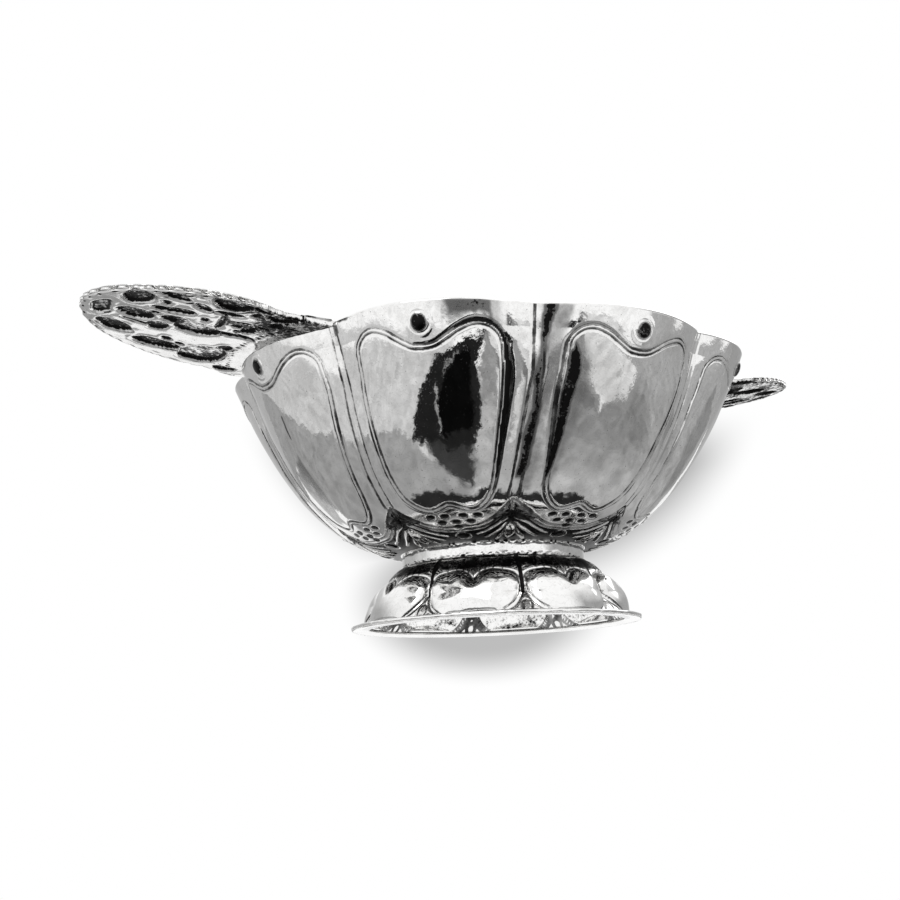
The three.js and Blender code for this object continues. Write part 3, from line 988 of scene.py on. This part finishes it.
class BRANDY_OT_foot(bpy.types.Operator):
    """Raise the spreading foot with its eight cushions, inside and out"""
    bl_idname = "brandy.make_foot"
    bl_label = "Foot"

    columns = 960

    def execute(self, context):
        scene = context.scene
        sizes, work = Millimetres(scene.bowl_sizes), Millimetres(scene.bowl_work)
        section = foot_section(sizes)
        chased = foot_ornament(section)
        sheet = chased.sheet
        stations = np.linspace(0.0, section.length, FOOT_RINGS)
        angle, along = np.meshgrid(headings(self.columns), stations)
        off, lobe = lobe_places(angle)
        unsteady = np.stack([off * 0.6 + lobe * 53.0, along, lobe * 17.0], axis=-1)
        drawn = off + fade(np.abs(off), 22.0, 16.0) * ripple(unsteady, 22.0, 31) * 0.7
        radius = foot_radius_at(sizes, section, sheet, chased.cushion, drawn, along, angle)
        height = section.height(along)
        base = around(radius, angle, height)
        line, dark, cushion = (sheet.sample(field, drawn, along)
                               for field in (chased.line, chased.dark, chased.cushion))
        normals = grid_normals(base)
        held = fade(height, 17.6, 16.2) * fade(height, 1.3, 2.4)
        waves = 0.07 * ripple(base, 7.5, 32) * held
        depth = work.line_depth * np.exp(-(line / work.line_width) ** 2) * held
        outside = base + normals * (waves - depth)[..., None]
        inside = base - normals * sizes.wall
        low, high = sizes.flange_thickness, sizes.collar_foot
        inside[0, :, 2] = low
        inside[:, :, 2] = np.clip(inside[:, :, 2], low, high - FOOT_LIP)
        throat_radius = sizes.collar_radius - COLLAR_WALL
        throat = around(throat_radius, angle[0], np.array([[high], [high - FOOT_LIP]]))
        keep = np.arange(0, FOOT_RINGS, 2)[::-1]
        keep = keep[(np.hypot(inside[keep, :, 0], inside[keep, :, 1]) > throat_radius + 0.3).all(axis=1)]
        piece = add_ring_body("cushioned_foot", (
            (outside, line, dark), (throat, UNLINED, 0.6),
            (inside[keep], np.maximum(line[keep] - 0.3, 0.0), 0.10 + 0.36 * smooth(cushion[keep] * 1.6))))
        piece.data.materials.append(silver_material("foot_silver_worked", scene.bowl_colours))
        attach(piece, "root")
        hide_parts("foot_dome")
        return {"FINISHED"}


FLANGE_LAP = 1.4  # how far the flange reaches in under the foot's edge
# Tarnish on the flange: outside and below, on the ledge inside the foot, and at its inner edge
FLANGE_TARNISH = np.repeat([0.1, 0.8, 0.25], [10, 3, 1])[:, None]


class BRANDY_OT_flange(bpy.types.Operator):
    """Make the flat ring that the foot is soldered to, with a slightly uneven edge"""
    bl_idname = "brandy.make_flange"
    bl_label = "Flange"

    columns = 720

    def execute(self, context):
        scene = context.scene
        sizes = Millimetres(scene.bowl_sizes)
        thick = sizes.flange_thickness
        outer = sizes.flange_radius
        inner = sizes.foot_radius - FLANGE_LAP
        angle = headings(self.columns)
        profile = np.array([
            (inner, 0.15), (inner + 0.15, 0.0), (outer - 1.6, 0.0), (outer - 0.35, 0.0),
            (outer - 0.1, 0.14), (outer, 0.4), (outer, thick - 0.4), (outer - 0.12, thick - 0.12),
            (outer - 0.4, thick), (outer - 1.2, thick), (inner + 2.6, thick), (inner + 2.0, thick),
            (inner + 0.15, thick), (inner, thick - 0.15)])
        radius, height = profile[:, :1], profile[:, 1:]
        place = around(radius, angle, height)
        nicks = 0.10 * ripple(place, 9.0, 41) + 0.05 * ripple(place, 2.5, 42) - 0.16
        radius = radius + np.where(radius > outer - 0.5, np.minimum(nicks, 0.0), 0.0)
        piece = add_ring_body("foot_ring", ((around(radius, angle, height), UNLINED, FLANGE_TARNISH),))
        piece.data.materials.append(silver_material("flange_silver_plain", scene.bowl_colours))
        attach(piece, "root")
        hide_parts("foot_flange")
        return {"FINISHED"}


# The cast handles

HANDLE_ROOT = 71.3  # axis to where the plate starts to climb and draw in
HANDLE_FREE = 76.0  # axis to where its sides stand free of the rim
HANDLE_SHOULDER = 88.0  # axis to where the outline starts to close
HANDLE_WAIST = 1.2  # how far the sides draw in beside the rim
HANDLE_ROUNDING = 1.9  # power of the curve that closes the outline
HANDLE_RISE = 8.0  # how much the plate climbs from root to tip
HANDLE_BEND = 1.15  # power of the climb
HANDLE_SINK = 1.2  # rim down to the middle of the plate, at the root
HANDLE_DISH = 0.8  # how far the plate's sides curl up
HANDLE_MIDDLE = 92.0  # axis to the point that the scallops along the edge are counted round
HANDLE_BITE = 0.5  # how far the root lies inside the wall's outer face
ROOT_GUESS = 70.0  # axis to the root, before it is fitted to the wall
ROOT_ROUNDS = 6  # of closing in on the wall
PLATE_UNDER = 1.0  # middle of the plate down to its underside
PLATE_OVER = 0.95  # and up to its upper side
EDGE_WIDTH = 1.1  # width over which both faces round towards the edge
EDGE_ROUND = 0.55  # and how far they draw together there
DASHES = (0.95, 0.35)  # free edge to the row of dashes along it, and half its width
TEETH = (4.6, 1.0)  # root to the row of teeth across it, and half its width

# Hollows cast into a handle's underside: distance from the axis, place across, half length,
# half width, turn in degrees from the handle's length, and depth
HOLLOWS = (
    (118.9, 0, 5.2, 2.5, 96, 0.9), (113.7, -13, 4.7, 3.1, 62, 0.8), (112, 10.4, 5.2, 3.7, -18, 0.9),
    (106.6, -19.6, 4.4, 1.9, -8, 0.7), (100.9, -25, 1.9, 1.1, 88, 0.5), (104.9, -23.5, 1.5, 1, 70, 0.5),
    (93.4, -24.5, 5.2, 4, 14, 1), (98.7, 15.2, 6.7, 3.9, 8, 1), (85.9, 13.8, 8, 5.7, 76, 1),
    (98.9, -18, 2.7, 1.7, -28, 0.6), (103.7, -11.4, 5.5, 1.9, 13, 0.7),
    (107.4, -14.8, 1.5, 1.2, -40, 0.5), (95.4, -11, 1.4, 1.1, 70, 0.5), (107.4, -6.4, 1.6, 0.9, 0, 0.5),
    (110.6, -2, 5, 3.5, 8, 0.9), (108.6, 3.2, 4.2, 0.8, 4, 0.5), (101.6, -5.4, 3.4, 2.4, 22, 0.8),
    (94.6, -3.7, 6, 4.3, 15, 0.9), (103.2, 1.6, 3.2, 2.6, 60, 0.6), (98, 9, 1.5, 1.3, 0, 0.6),
    (94.2, 10.3, 1.4, 0.8, -6, 0.5), (82.6, 4.3, 2.3, 2, 80, 0.6), (79.6, -24.6, 4.2, 2.6, 20, 0.8),
    (78.9, -20.2, 1.7, 1.6, 0, 0.7), (86.2, -26.3, 2.6, 1.6, 0, 0.5), (86.4, -22.4, 1.7, 0.8, 85, 0.5),
    (91.2, -12.6, 6.6, 1, 94, 0.6), (75.8, 21.4, 3.4, 2.5, 30, 0.8), (83.9, -12.6, 3, 1.8, 82, 0.8),
    (87.2, -13, 1.7, 1.1, 4, 0.5), (86.3, -9.8, 0.9, 0.8, 0, 0.4), (84.9, -6.3, 5.2, 1.5, 8, 0.7),
    (84.6, -15.6, 5.2, 0.6, 8, 0.4), (92, -18.6, 4.2, 1.5, 12, 0.6),
)


# Each handle's piece, node and way along the long axis, and how much painted shade darkens its underside
HANDLES = (("cast_handle_left", "handle_left", -1.0, 0.0), ("cast_handle_right", "handle_right", 1.0, 0.45))


def handle_half_width(x, half):
    """The handle's half width where it has not begun to round off."""
    t = np.clip((x - HANDLE_ROOT) / (HANDLE_SHOULDER - HANDLE_ROOT), 0.0, 1.0)
    return half - HANDLE_WAIST * np.sin(math.pi * t) ** 2


def handle_middle(sizes, x):
    """Height of the middle of the plate, climbing from the rim to the tip."""
    share = np.clip(x - HANDLE_ROOT, 0.0, None) / (sizes.handle_reach - HANDLE_ROOT)
    return sizes.rim_height - HANDLE_SINK + HANDLE_RISE * share ** HANDLE_BEND


def hollow_fields(x, y):
    """How deep each place lies in a hollow, the ridges round them, the darkening and the outlines."""
    wx = x + 0.35 * flat_ripple(x, y, 7.0, 51)
    wy = y + 0.35 * flat_ripple(x, y, 7.0, 52)
    depth, ridge, shade = (np.zeros(x.shape) for _ in range(3))
    outline = np.full(x.shape, UNLINED)
    for cx, cy, half_long, half_wide, turn, deep in HOLLOWS:
        c, s = math.cos(math.radians(turn)), math.sin(math.radians(turn))
        u = (wx - cx) * c + (wy - cy) * s
        v = -(wx - cx) * s + (wy - cy) * c
        q = np.hypot(u / half_long, v / half_wide)
        steep = np.hypot(half_wide * u / half_long, half_long * v / half_wide) / np.maximum(q, 1e-6)
        away = (q - 1.0) * half_long * half_wide / np.maximum(steep, 1e-6)
        depth = np.maximum(depth, deep * fade(away, 0.25, -0.75))
        ridge = np.maximum(ridge, np.exp(-((away - 0.75) / 0.6) ** 2))
        middle = 1.0 - 0.38 * fade(away, -0.35, -1.0)
        shade = np.maximum(shade, fade(away, 0.15, -0.30) * middle)
        outline = np.minimum(outline, np.abs(away - 0.30) + 0.10)
    return depth, ridge * (1.0 - shade), shade, outline


def plate_places(sizes, rows, columns):
    """Places over a plate along +X, and how far each lies from its free edge and from its root."""
    half = sizes.handle_half_width
    across = np.sin(math.pi / 2 * np.linspace(-1.0, 1.0, columns))
    closing = (1 - np.abs(across) ** HANDLE_ROUNDING) ** (1 / HANDLE_ROUNDING)
    end = HANDLE_SHOULDER + (sizes.handle_reach - HANDLE_SHOULDER) * closing
    start = np.full(columns, ROOT_GUESS)
    for _ in range(ROOT_ROUNDS):
        side = across * handle_half_width(start, half)
        rim = rim_share(sizes, np.arctan2(side, start), sizes.rim_height) * sizes.end_radius
        start = np.sqrt(np.maximum(rim ** 2 - side ** 2, 1.0))
    start = start - HANDLE_BITE
    x = start + (end - start) * np.linspace(0.0, 1.0, rows)[:, None]
    y = across * handle_half_width(x, half)
    side = np.linspace(HANDLE_FREE, HANDLE_SHOULDER, 30)
    half_side = handle_half_width(side, half)
    edge_x = np.concatenate([side, end, side])
    edge_y = np.concatenate([-half_side, across * half, half_side])
    from_edge = np.hypot(x[..., None] - edge_x, y[..., None] - edge_y).min(axis=-1)
    return x, y, from_edge, x - start


def edge_work(x, y, from_edge, from_root):
    """The turn round the plate's middle, the scallops of its edge, and its dashes and teeth."""
    turn = np.arctan2(y, x - HANDLE_MIDDLE)
    scallop = np.sin(turn * 46.0 + 1.4 * np.sin(turn * 9.0))
    place, width = DASHES
    dashes = np.exp(-((from_edge - place) / width) ** 2) * np.clip(scallop * 1.6 - 0.35, 0.0, 1.0)
    tooth = np.clip(np.sin(y * 3.9 + np.sin(y * 0.7)) * 1.5 - 0.3, 0.0, 1.0)
    place, width = TEETH
    teeth = np.exp(-((from_root - place) / width) ** 2) * tooth * fade(np.abs(y), 23.0, 21.0)
    return turn, scallop, np.maximum(dashes, teeth)


class BRANDY_OT_handles(bpy.types.Operator):
    """Cast the two relief handles and set them at the rim"""
    bl_idname = "brandy.make_handles"
    bl_label = "Handles"

    rows = 150
    columns = 151

    def plate(self, sizes):
        """One handle along +X: its places, its lower and upper faces and their fields."""
        x, y, from_edge, from_root = plate_places(sizes, self.rows, self.columns)
        turn, scallop, marks = edge_work(x, y, from_edge, from_root)
        depth, ridge, shade, outline = hollow_fields(x, y)
        inner = fade(from_edge, 0.5, 1.6)
        depth, shade, ridge = depth * inner, shade * inner, ridge * inner
        grit = flat_ripple(x, y, 1.3, 55)
        dish = HANDLE_DISH * (y / sizes.handle_half_width) ** 2 * fade(x, 118.0, 100.0)
        middle = handle_middle(sizes, x) + dish
        edge = EDGE_ROUND * np.clip(1.0 - from_edge / EDGE_WIDTH, 0.0, 1.0) ** 2

        notch = (1 - fade(from_edge, 0.0, 0.6)) * (1 + scallop)
        x = x - 0.30 * notch * np.clip(np.cos(turn), 0, 1)
        y = y - 0.24 * notch * np.sign(y) * np.clip(np.abs(np.sin(turn)), 0, 1)
        net = 0.20 * ridge + 0.05 * flat_ripple(x, y, 3.0, 56)
        under = middle - PLATE_UNDER + depth - net + 0.35 * marks + edge + 0.04 * grit * shade
        over = middle + PLATE_OVER + 0.42 * depth - 0.12 * ridge - 0.25 * marks - edge
        # Painted shade near the root, where the plate meets the bowl's wall, and towards one side there,
        # over a low even tarnishing
        painted_root_shade = 0.22 * fade(x, 92.0, 80.0) + 0.30 * fade(y, -4.0, -18.0) * fade(x, 98.0, 84.0) + 0.10
        shade_under = np.clip(np.maximum(np.maximum(shade, marks), painted_root_shade) + 0.08 * grit, 0.0, 1.0)
        shade_over = np.clip(np.maximum(ridge * 0.75, marks) * 0.9, 0.0, 1.0)
        outline = outline + 0.30 * fade(flat_ripple(x, y, 5.0, 57), -0.3, 0.5)
        return x, y, under, over, shade_under, shade_over, outline

    def execute(self, context):
        scene = context.scene
        sizes = Millimetres(scene.bowl_sizes)
        x, y, under, over, shade_under, shade_over, outline = self.plate(sizes)
        n, m = x.shape
        index = np.arange(n * m).reshape(n, m)
        top = np.stack([index[:-1, :-1], index[1:, :-1], index[1:, 1:], index[:-1, 1:]], axis=-1)
        top = top.reshape(-1, 4)
        bottom = top[:, ::-1] + n * m
        border = np.concatenate([index[0, :-1], index[:-1, -1], index[-1, :0:-1], index[:0:-1, 0]])
        following = np.roll(border, -1)
        sides = np.stack([following, border, border + n * m, following + n * m], axis=-1)
        quads = np.concatenate([top, bottom, sides])
        cast = silver_material("handle_silver_cast", scene.bowl_colours)
        for name, node, way, underside_painted_shade in HANDLES:
            upper = np.stack([way * x, -way * y, over], axis=-1).reshape(-1, 3)
            lower = np.stack([way * x, -way * y, under], axis=-1).reshape(-1, 3)
            # The right handle's underside carries extra painted shade
            fields = {"chasing": np.append(np.full(n * m, UNLINED), outline),
                      "tarnish_and_painted_shade": np.append(shade_over, shade_under + underside_painted_shade)}
            piece = add_mesh(name, np.concatenate([upper, lower]), quads[:, ::-1], fields)
            piece.data.materials.append(cast)
            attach(piece, "root")
            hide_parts(node)
        return {"FINISHED"}


# The studio

# The camera, fitted to the photo: degrees, and millimetres for its distance, target and lens
CAMERA_AZIMUTH = 33.935
CAMERA_ELEVATION = -11.942
CAMERA_ROLL = -2.542
CAMERA_DISTANCE = 383.705
CAMERA_TARGET = (-13.624, 0.0, 51.751)
CAMERA_LENS = 51.95
CAMERA_SENSOR = 36.0

FLOOR_RINGS = (42.0, 80.0, 200.0, 600.0, 1600.0)  # open under the foot, as light reaches its hollow
CLEAR_TONE = 0.97  # grey level of the floor and the far air where nothing is darker
ROOM_LIGHT = 0.85  # strength of the world as light, which is 1 where it is seen
# The lamps: place in metres and power, all of one size and aimed at one point
LAMPS = (("key_softbox", (-0.7, -0.5, 1.0), 4.0), ("fill_softbox", (0.8, 0.2, 0.8), 2.0))
LAMP_AIM = (0.0, 0.0, 0.05)
LAMP_SIZE = 0.8

# Painted reflections: tones that only the polished silver sees on the floor, among them painted shade and
# a painted shadow round the foot, each laid over the ones before: grey level, width over which the outline
# is eased, and the outline
TONES = (
    (0.59, 26, ((-30, -42), (-60, -120), (-100, -158), (-130, -138), (-185, -80), (-240, -6),
        (-285, 70), (-360, 200), (-600, 520), (-900, 1400), (60, 1400), (-60, 300), (-122, 215),
        (-90, 120), (-60, 80), (0, 0))),
    (0.33, 3, ((-84, -32), (-90, -31), (-106, -16), (-119, 11), (-128, 30), (-118, 9), (-131, 26),
        (-135, 54), (-150, 109), (-169, 153), (-210, 305), (-328, 889), (-420, 1400), (600, 1400),
        (250, 560), (80, 425), (-30, 400), (-78, 300), (-72, 190), (-64, 140), (-50, 80), (0, 0),
        (-29, -42), (-60, -39))),
    (0.38, 18, ((-15, -58), (-20, -100), (-10, -150), (-36, -232), (20, -238), (60, -224), (120, -205),
        (200, -215), (330, -225), (700, -235), (1380, -250), (1380, 430), (650, 200), (420, 130),
        (240, 90), (100, 40), (0, 0))),
    (0.25, 44, ((-4, -90), (-12, -140), (-32, -225), (-15, -215), (5, -170), (30, -138), (62, -128),
        (108, -152), (150, -125), (120, -78), (70, -72), (34, -84))),
    (0.25, 36, ((190, -60), (420, -100), (600, -120), (560, 60), (240, 50), (130, 10))),
    (0.42, 30, ((180, -185), (300, -200), (420, -215), (640, -225), (660, -330), (400, -330),
        (250, -300), (200, -240))),
    (0.42, 8, ((-22, -45), (-16, -64), (28, -66), (70, -60), (110, -10), (60, 10))),
    (0.69, 2.5, ((-22, -237), (49, -225), (102, -184), (113, -162), (94, -145), (66, -133), (39, -125),
        (33, -112), (31, -138), (6, -171), (-8, -199))),
    (0.19, 3, ((-33, -239), (-13, -212), (13, -151), (29, -117), (6, -129), (-14, -159), (-27, -203))),
    (0.42, 16, ((-136, -190), (-100, -255), (-66, -290), (-62, -240), (-73, -204), (-117, -160))),
    (0.3, 4, ((-28, -236), (-12, -207), (-22, -140), (-24, -70), (-44, -72), (-48, -147))),
    (0.4, 4, ((-48, -80), (-30, -84), (-12, -90), (-6, -48), (-16, -42), (-24, -46), (-36, -42),
        (-46, -46))),
    (0.44, 2.5, ((-38, -119), (-31, -129), (-26, -126), (-28, -101), (-31, -76), (-42, -69),
        (-43, -87))),
    (0.042, 4, ((-75, -44), (-50, -76), (-38, -56), (-37, -43), (-46, -40), (-58, -38))),
    (0.015, 1.5, ((-60, -198), (-26, -238), (-45, -185), (-52, -147), (-45, -114), (-43, -89),
        (-43, -66), (-55, -58), (-71, -46), (-86, -32), (-93, -41), (-101, -52), (-112, -71),
        (-115, -105), (-107, -129), (-93, -152))),
    (0.003, 2, ((-96, -95), (-86, -133), (-67, -166), (-56, -122), (-49, -80), (-57, -68), (-68, -55),
        (-87, -75))),
    (0.36, 1, ((-98, -84), (-78, -69), (-67, -54), (-69, -53), (-80, -67), (-98, -81))),
    (0.3, 1.2, ((-84, -146), (-91, -122), (-98, -104), (-96, -103), (-88, -122), (-81, -146))),
    (0.022, 1.2, ((-53, -3), (-54, -13), (-46, -26), (-37, -37), (-26, -45), (-16, -48), (-5, -50),
        (8, -50), (18, -49), (30, -43), (40, -34), (33, -28), (10, -38), (-20, -34), (-36, -22),
        (-44, -6))),
    (0.012, 2.5, ((70, 60), (96, 50), (112, 72), (118, 108), (104, 136), (78, 150), (62, 120),
        (58, 84))),
    (0.14, 8, ((52, 44), (74, 40), (98, 52), (70, 66))),
)
TONE_HOLE = 43.5  # the tones stop short of the foot
TONE_LIFT = 0.1  # the sheet that carries them lies this far above the floor
TONE_EDGES = ((-1400, -440, 40), (-440, -180, 5), (-180, 160, 1.25), (160, 440, 5), (440, 1400, 40))

# The soft shade behind and under the bowl, as slopes to the right and up of the camera's middle line:
# a round part behind the wall, cut off above, and an oval part round the foot
SHADE_ROUND = (0.0385, 0.0924, 0.1886)
SHADE_ROUND_EDGE = (1.16, 0.84)
SHADE_CUT = (0.0346, -0.0154)
SHADE_OVAL = (0.0231, -0.1155, 0.0847, 0.0531)
SHADE_OVAL_EDGE = (1.3, 0.7)
SHADE_OVAL_SHARE = 0.68
SHADE_AHEAD = (0.5, 0.7)  # cosines of the turn from the middle line between which it fades
SHADE_STRENGTH = 0.72

# Painted reflections standing far off, all round the scene: heading in degrees, grey level
FAR_TONES = ((-180, 0.97), (-62, 0.97), (-44, 0.36), (20, 0.36), (38, 0.50), (50, 0.97), (60, 0.97),
             (70, 0.60), (88, 0.44), (118, 0.44), (134, 0.60), (150, 0.97), (180, 0.97))
FAR_RADIUS = 1390.0
FAR_RINGS = ((0.0, 1.0), (315.0, 1.0), (630.0, 0.5), (900.0, 0.0))  # height, strength of the tones


def toned(x, y):
    """The grey level of the painted reflections on the floor at each place, with ragged outlines and soft
    mottling.
    """
    ragged_x = x + 1.6 * flat_ripple(x, y, 19.0, 71) + 1.3 * flat_ripple(x, y, 5.0, 72)
    ragged_y = y + 1.6 * flat_ripple(x, y, 19.0, 73) + 1.3 * flat_ripple(x, y, 5.0, 74)
    tone = np.full(x.shape, CLEAR_TONE)
    for level, soft, outline in TONES:
        tone = tone + (level - tone) * soft_inside(ragged_x, ragged_y, outline, soft)
    mottled = 1.0 + 0.10 * flat_ripple(x, y, 16.0, 75) + 0.07 * flat_ripple(x, y, 7.0, 76)
    return np.clip(tone * mottled, 0.0, 1.0)


def facing(back, place, roll=0.0):
    """The matrix of a camera or lamp at a place, with its back along an axis and rolled by an angle."""
    level = np.cross([0.0, 0.0, 1.0], back)
    level /= np.linalg.norm(level)
    upright = np.cross(back, level)
    right = math.cos(roll) * level + math.sin(roll) * upright
    up = -math.sin(roll) * level + math.cos(roll) * upright
    return Matrix([*np.column_stack([right, up, back, place]).tolist(), (0.0, 0.0, 0.0, 1.0)])


def camera_matrix():
    """The camera's place: it looks up a little at the bowl, from below the level of its foot."""
    azimuth = math.radians(CAMERA_AZIMUTH)
    elevation = math.radians(CAMERA_ELEVATION)
    back = np.array([-math.sin(azimuth) * math.cos(elevation), -math.cos(azimuth) * math.cos(elevation),
                     math.sin(elevation)])
    return facing(back, (np.array(CAMERA_TARGET) + back * CAMERA_DISTANCE) * MM, math.radians(CAMERA_ROLL))


class BRANDY_OT_stage(bpy.types.Operator):
    """Lay the pale floor, set the soft lights and the camera"""
    bl_idname = "brandy.make_stage"
    bl_label = "Stage"

    def floor(self, colours):
        """A wide round floor, open under the foot."""
        rings = np.array(FLOOR_RINGS)[:, None]
        points = around(rings, headings(96), 0.0)
        floor = add_mesh("pale_floor", points.reshape(-1, 3), ring_faces(*points.shape[:2])[:, ::-1], {})
        material, nodes = new_material("floor_white")
        above = nodes.add("ShaderNodeNewGeometry", output="Backfacing")
        white = nodes.add("ShaderNodeBsdfDiffuse", {}, {"Color": (*colours.floor, 1.0)})
        clear = nodes.add("ShaderNodeBsdfTransparent", {}, {"Color": (1.0, 1.0, 1.0, 1.0)})
        nodes.show(nodes.add("ShaderNodeMixShader", {}, {0: above, 1: white, 2: clear}))
        floor.data.materials.append(material)

    def tones(self):
        """The sheet just above the floor and the far ring that carry the tones the silver reflects."""
        steps = np.concatenate([np.arange(low, high, step) for low, high, step in TONE_EDGES])
        x, y = np.meshgrid(steps, steps)
        index = np.arange(x.size).reshape(x.shape)
        quads = np.stack([index[:-1, :-1], index[:-1, 1:], index[1:, 1:], index[1:, :-1]], axis=-1)
        middle = np.hypot((x[:-1, :-1] + x[1:, 1:]) / 2, (y[:-1, :-1] + y[1:, 1:]) / 2)
        points = np.stack([x, y, np.full(x.shape, TONE_LIFT)], axis=-1).reshape(-1, 3)
        sheet = add_mesh("reflected_tones", points, quads[middle > TONE_HOLE], {"tone": toned(x, y)})

        heading = np.linspace(-180.0, 180.0, 241)[:-1]
        level = np.interp(heading, *np.array(FAR_TONES).T)
        height, strength = np.array(FAR_RINGS).T[:, :, None]
        far = around(FAR_RADIUS, np.radians(heading), height)
        wall = add_mesh("far_tones", far.reshape(-1, 3), ring_faces(*far.shape[:2]),
                        {"tone": CLEAR_TONE + (level - CLEAR_TONE) * strength})

        # The sheet and the ring glow with their tones but are seen only in the silver: painted reflections
        material, nodes = new_material("reflected_tones")
        level = nodes.field("tone")
        glow = nodes.add("ShaderNodeCombineColor", {}, {0: level, 1: level, 2: level})
        nodes.show(nodes.add("ShaderNodeBsdfPrincipled", {}, {
            "Base Color": (0.0, 0.0, 0.0, 1.0), "Roughness": 1.0, "Specular IOR Level": 0.0,
            "Emission Color": glow, "Emission Strength": 1.0}))
        for card in (sheet, wall):
            card.data.materials.append(material)
            card.visible_camera = card.visible_diffuse = False
            card.visible_shadow = card.visible_transmission = False

    def shade(self, nodes):
        """How far the backdrop is shaded in each direction, from the soft shadow of the bowl."""
        direction = nodes.add("ShaderNodeTexCoord", output="Generated")
        axes = np.array(camera_matrix())[:3, :3]
        right, up, ahead = (nodes.along(direction, axis) for axis in (axes[:, 0], axes[:, 1], -axes[:, 2]))
        across = right / ahead
        above = up / ahead
        x, y, radius = SHADE_ROUND
        behind = (((across - x) ** 2.0 + (above - y) ** 2.0) ** 0.5 / radius).eased(*SHADE_ROUND_EDGE)
        behind = behind * above.eased(*SHADE_CUT)
        x, y, wide, high = SHADE_OVAL
        below = (((across - x) / wide) ** 2.0 + ((above - y) / high) ** 2.0) ** 0.5
        below = below.eased(*SHADE_OVAL_EDGE) * SHADE_OVAL_SHARE
        return behind.most(below) * ahead.eased(*SHADE_AHEAD) * SHADE_STRENGTH

    def world(self, scene):
        """White where it is seen or mirrored, a little weaker as light, and shaded behind the bowl."""
        world = bpy.data.worlds.get("studio_white") or bpy.data.worlds.new("studio_white")
        world.use_nodes = True
        scene.world = world
        nodes = Nodes(world.node_tree)
        camera, glossy, transmitted = (nodes.add("ShaderNodeLightPath", output=f"Is {ray} Ray")
                                       for ray in ("Camera", "Glossy", "Transmission"))
        seen = camera.most(glossy).most(transmitted)
        strength = ROOM_LIGHT + seen * (1.0 - ROOM_LIGHT) - self.shade(nodes) * camera
        white = nodes.add("ShaderNodeBackground", {}, {"Color": (1.0, 1.0, 1.0, 1.0), "Strength": strength})
        nodes.show(white, "World")

    def lamp(self, name, place, power):
        """A square soft lamp aimed at the bowl."""
        data = bpy.data.lights.new(name, "AREA")
        data.shape = "SQUARE"
        data.size = LAMP_SIZE
        data.energy = power
        lamp = bpy.data.objects.new(name, data)
        back = np.array(place) - np.array(LAMP_AIM)
        lamp.matrix_world = facing(back / np.linalg.norm(back), place)
        bpy.context.scene.collection.objects.link(lamp)

    def execute(self, context):
        scene = context.scene
        self.floor(scene.bowl_colours)
        self.tones()
        self.world(scene)
        for name, place, power in LAMPS:
            self.lamp(name, place, power)
        data = bpy.data.cameras.new("photo_view")
        data.sensor_fit = "HORIZONTAL"
        data.sensor_width = CAMERA_SENSOR
        data.lens = CAMERA_LENS
        data.clip_start = 0.02
        data.clip_end = 50.0
        camera = bpy.data.objects.new("photo_view", data)
        camera.matrix_world = camera_matrix()
        scene.collection.objects.link(camera)
        scene.camera = camera
        scene.view_settings.view_transform = "Standard"
        return {"FINISHED"}


# Panel and registration

class BRANDY_PT_bowl(bpy.types.Panel):
    """Sizes, colours and the pieces of the bowl"""
    bl_label = "Silver Brandy Bowl"
    bl_idname = "BRANDY_PT_bowl"
    bl_space_type = "VIEW_3D"
    bl_region_type = "UI"
    bl_category = "Brandy Bowl"

    def draw(self, context):
        """Show every property, and a button for each piece."""
        layout = self.layout
        for group in (context.scene.bowl_sizes, context.scene.bowl_work, context.scene.bowl_colours):
            box = layout.box()
            for name in group.__annotations__:
                box.prop(group, name)
        for operator in PIECES:
            layout.operator(operator.bl_idname)


PIECES = (BRANDY_OT_bowl, BRANDY_OT_collar, BRANDY_OT_foot, BRANDY_OT_flange, BRANDY_OT_handles,
          BRANDY_OT_stage)
GROUPS = {"bowl_sizes": BowlSizes, "bowl_work": BowlWork, "bowl_colours": BowlColours}


def register():
    """Make the properties, the operators and the panel known to Blender."""
    for group in GROUPS.values():
        bpy.utils.register_class(group)
    for operator in PIECES:
        bpy.utils.register_class(operator)
    bpy.utils.register_class(BRANDY_PT_bowl)
    for name, group in GROUPS.items():
        setattr(bpy.types.Scene, name, PointerProperty(type=group))


def unregister():
    """Take them away again."""
    for name in GROUPS:
        delattr(bpy.types.Scene, name)
    bpy.utils.unregister_class(BRANDY_PT_bowl)
    for operator in reversed(PIECES):
        bpy.utils.unregister_class(operator)
    for group in reversed(list(GROUPS.values())):
        bpy.utils.unregister_class(group)


def main():
    """Build every piece and the stage."""
    register()
    bpy.ops.brandy.make_bowl()
    bpy.ops.brandy.make_collar()
    bpy.ops.brandy.make_foot()
    bpy.ops.brandy.make_flange()
    bpy.ops.brandy.make_handles()
    bpy.ops.brandy.make_stage()


if __name__ == "__main__":
    main()
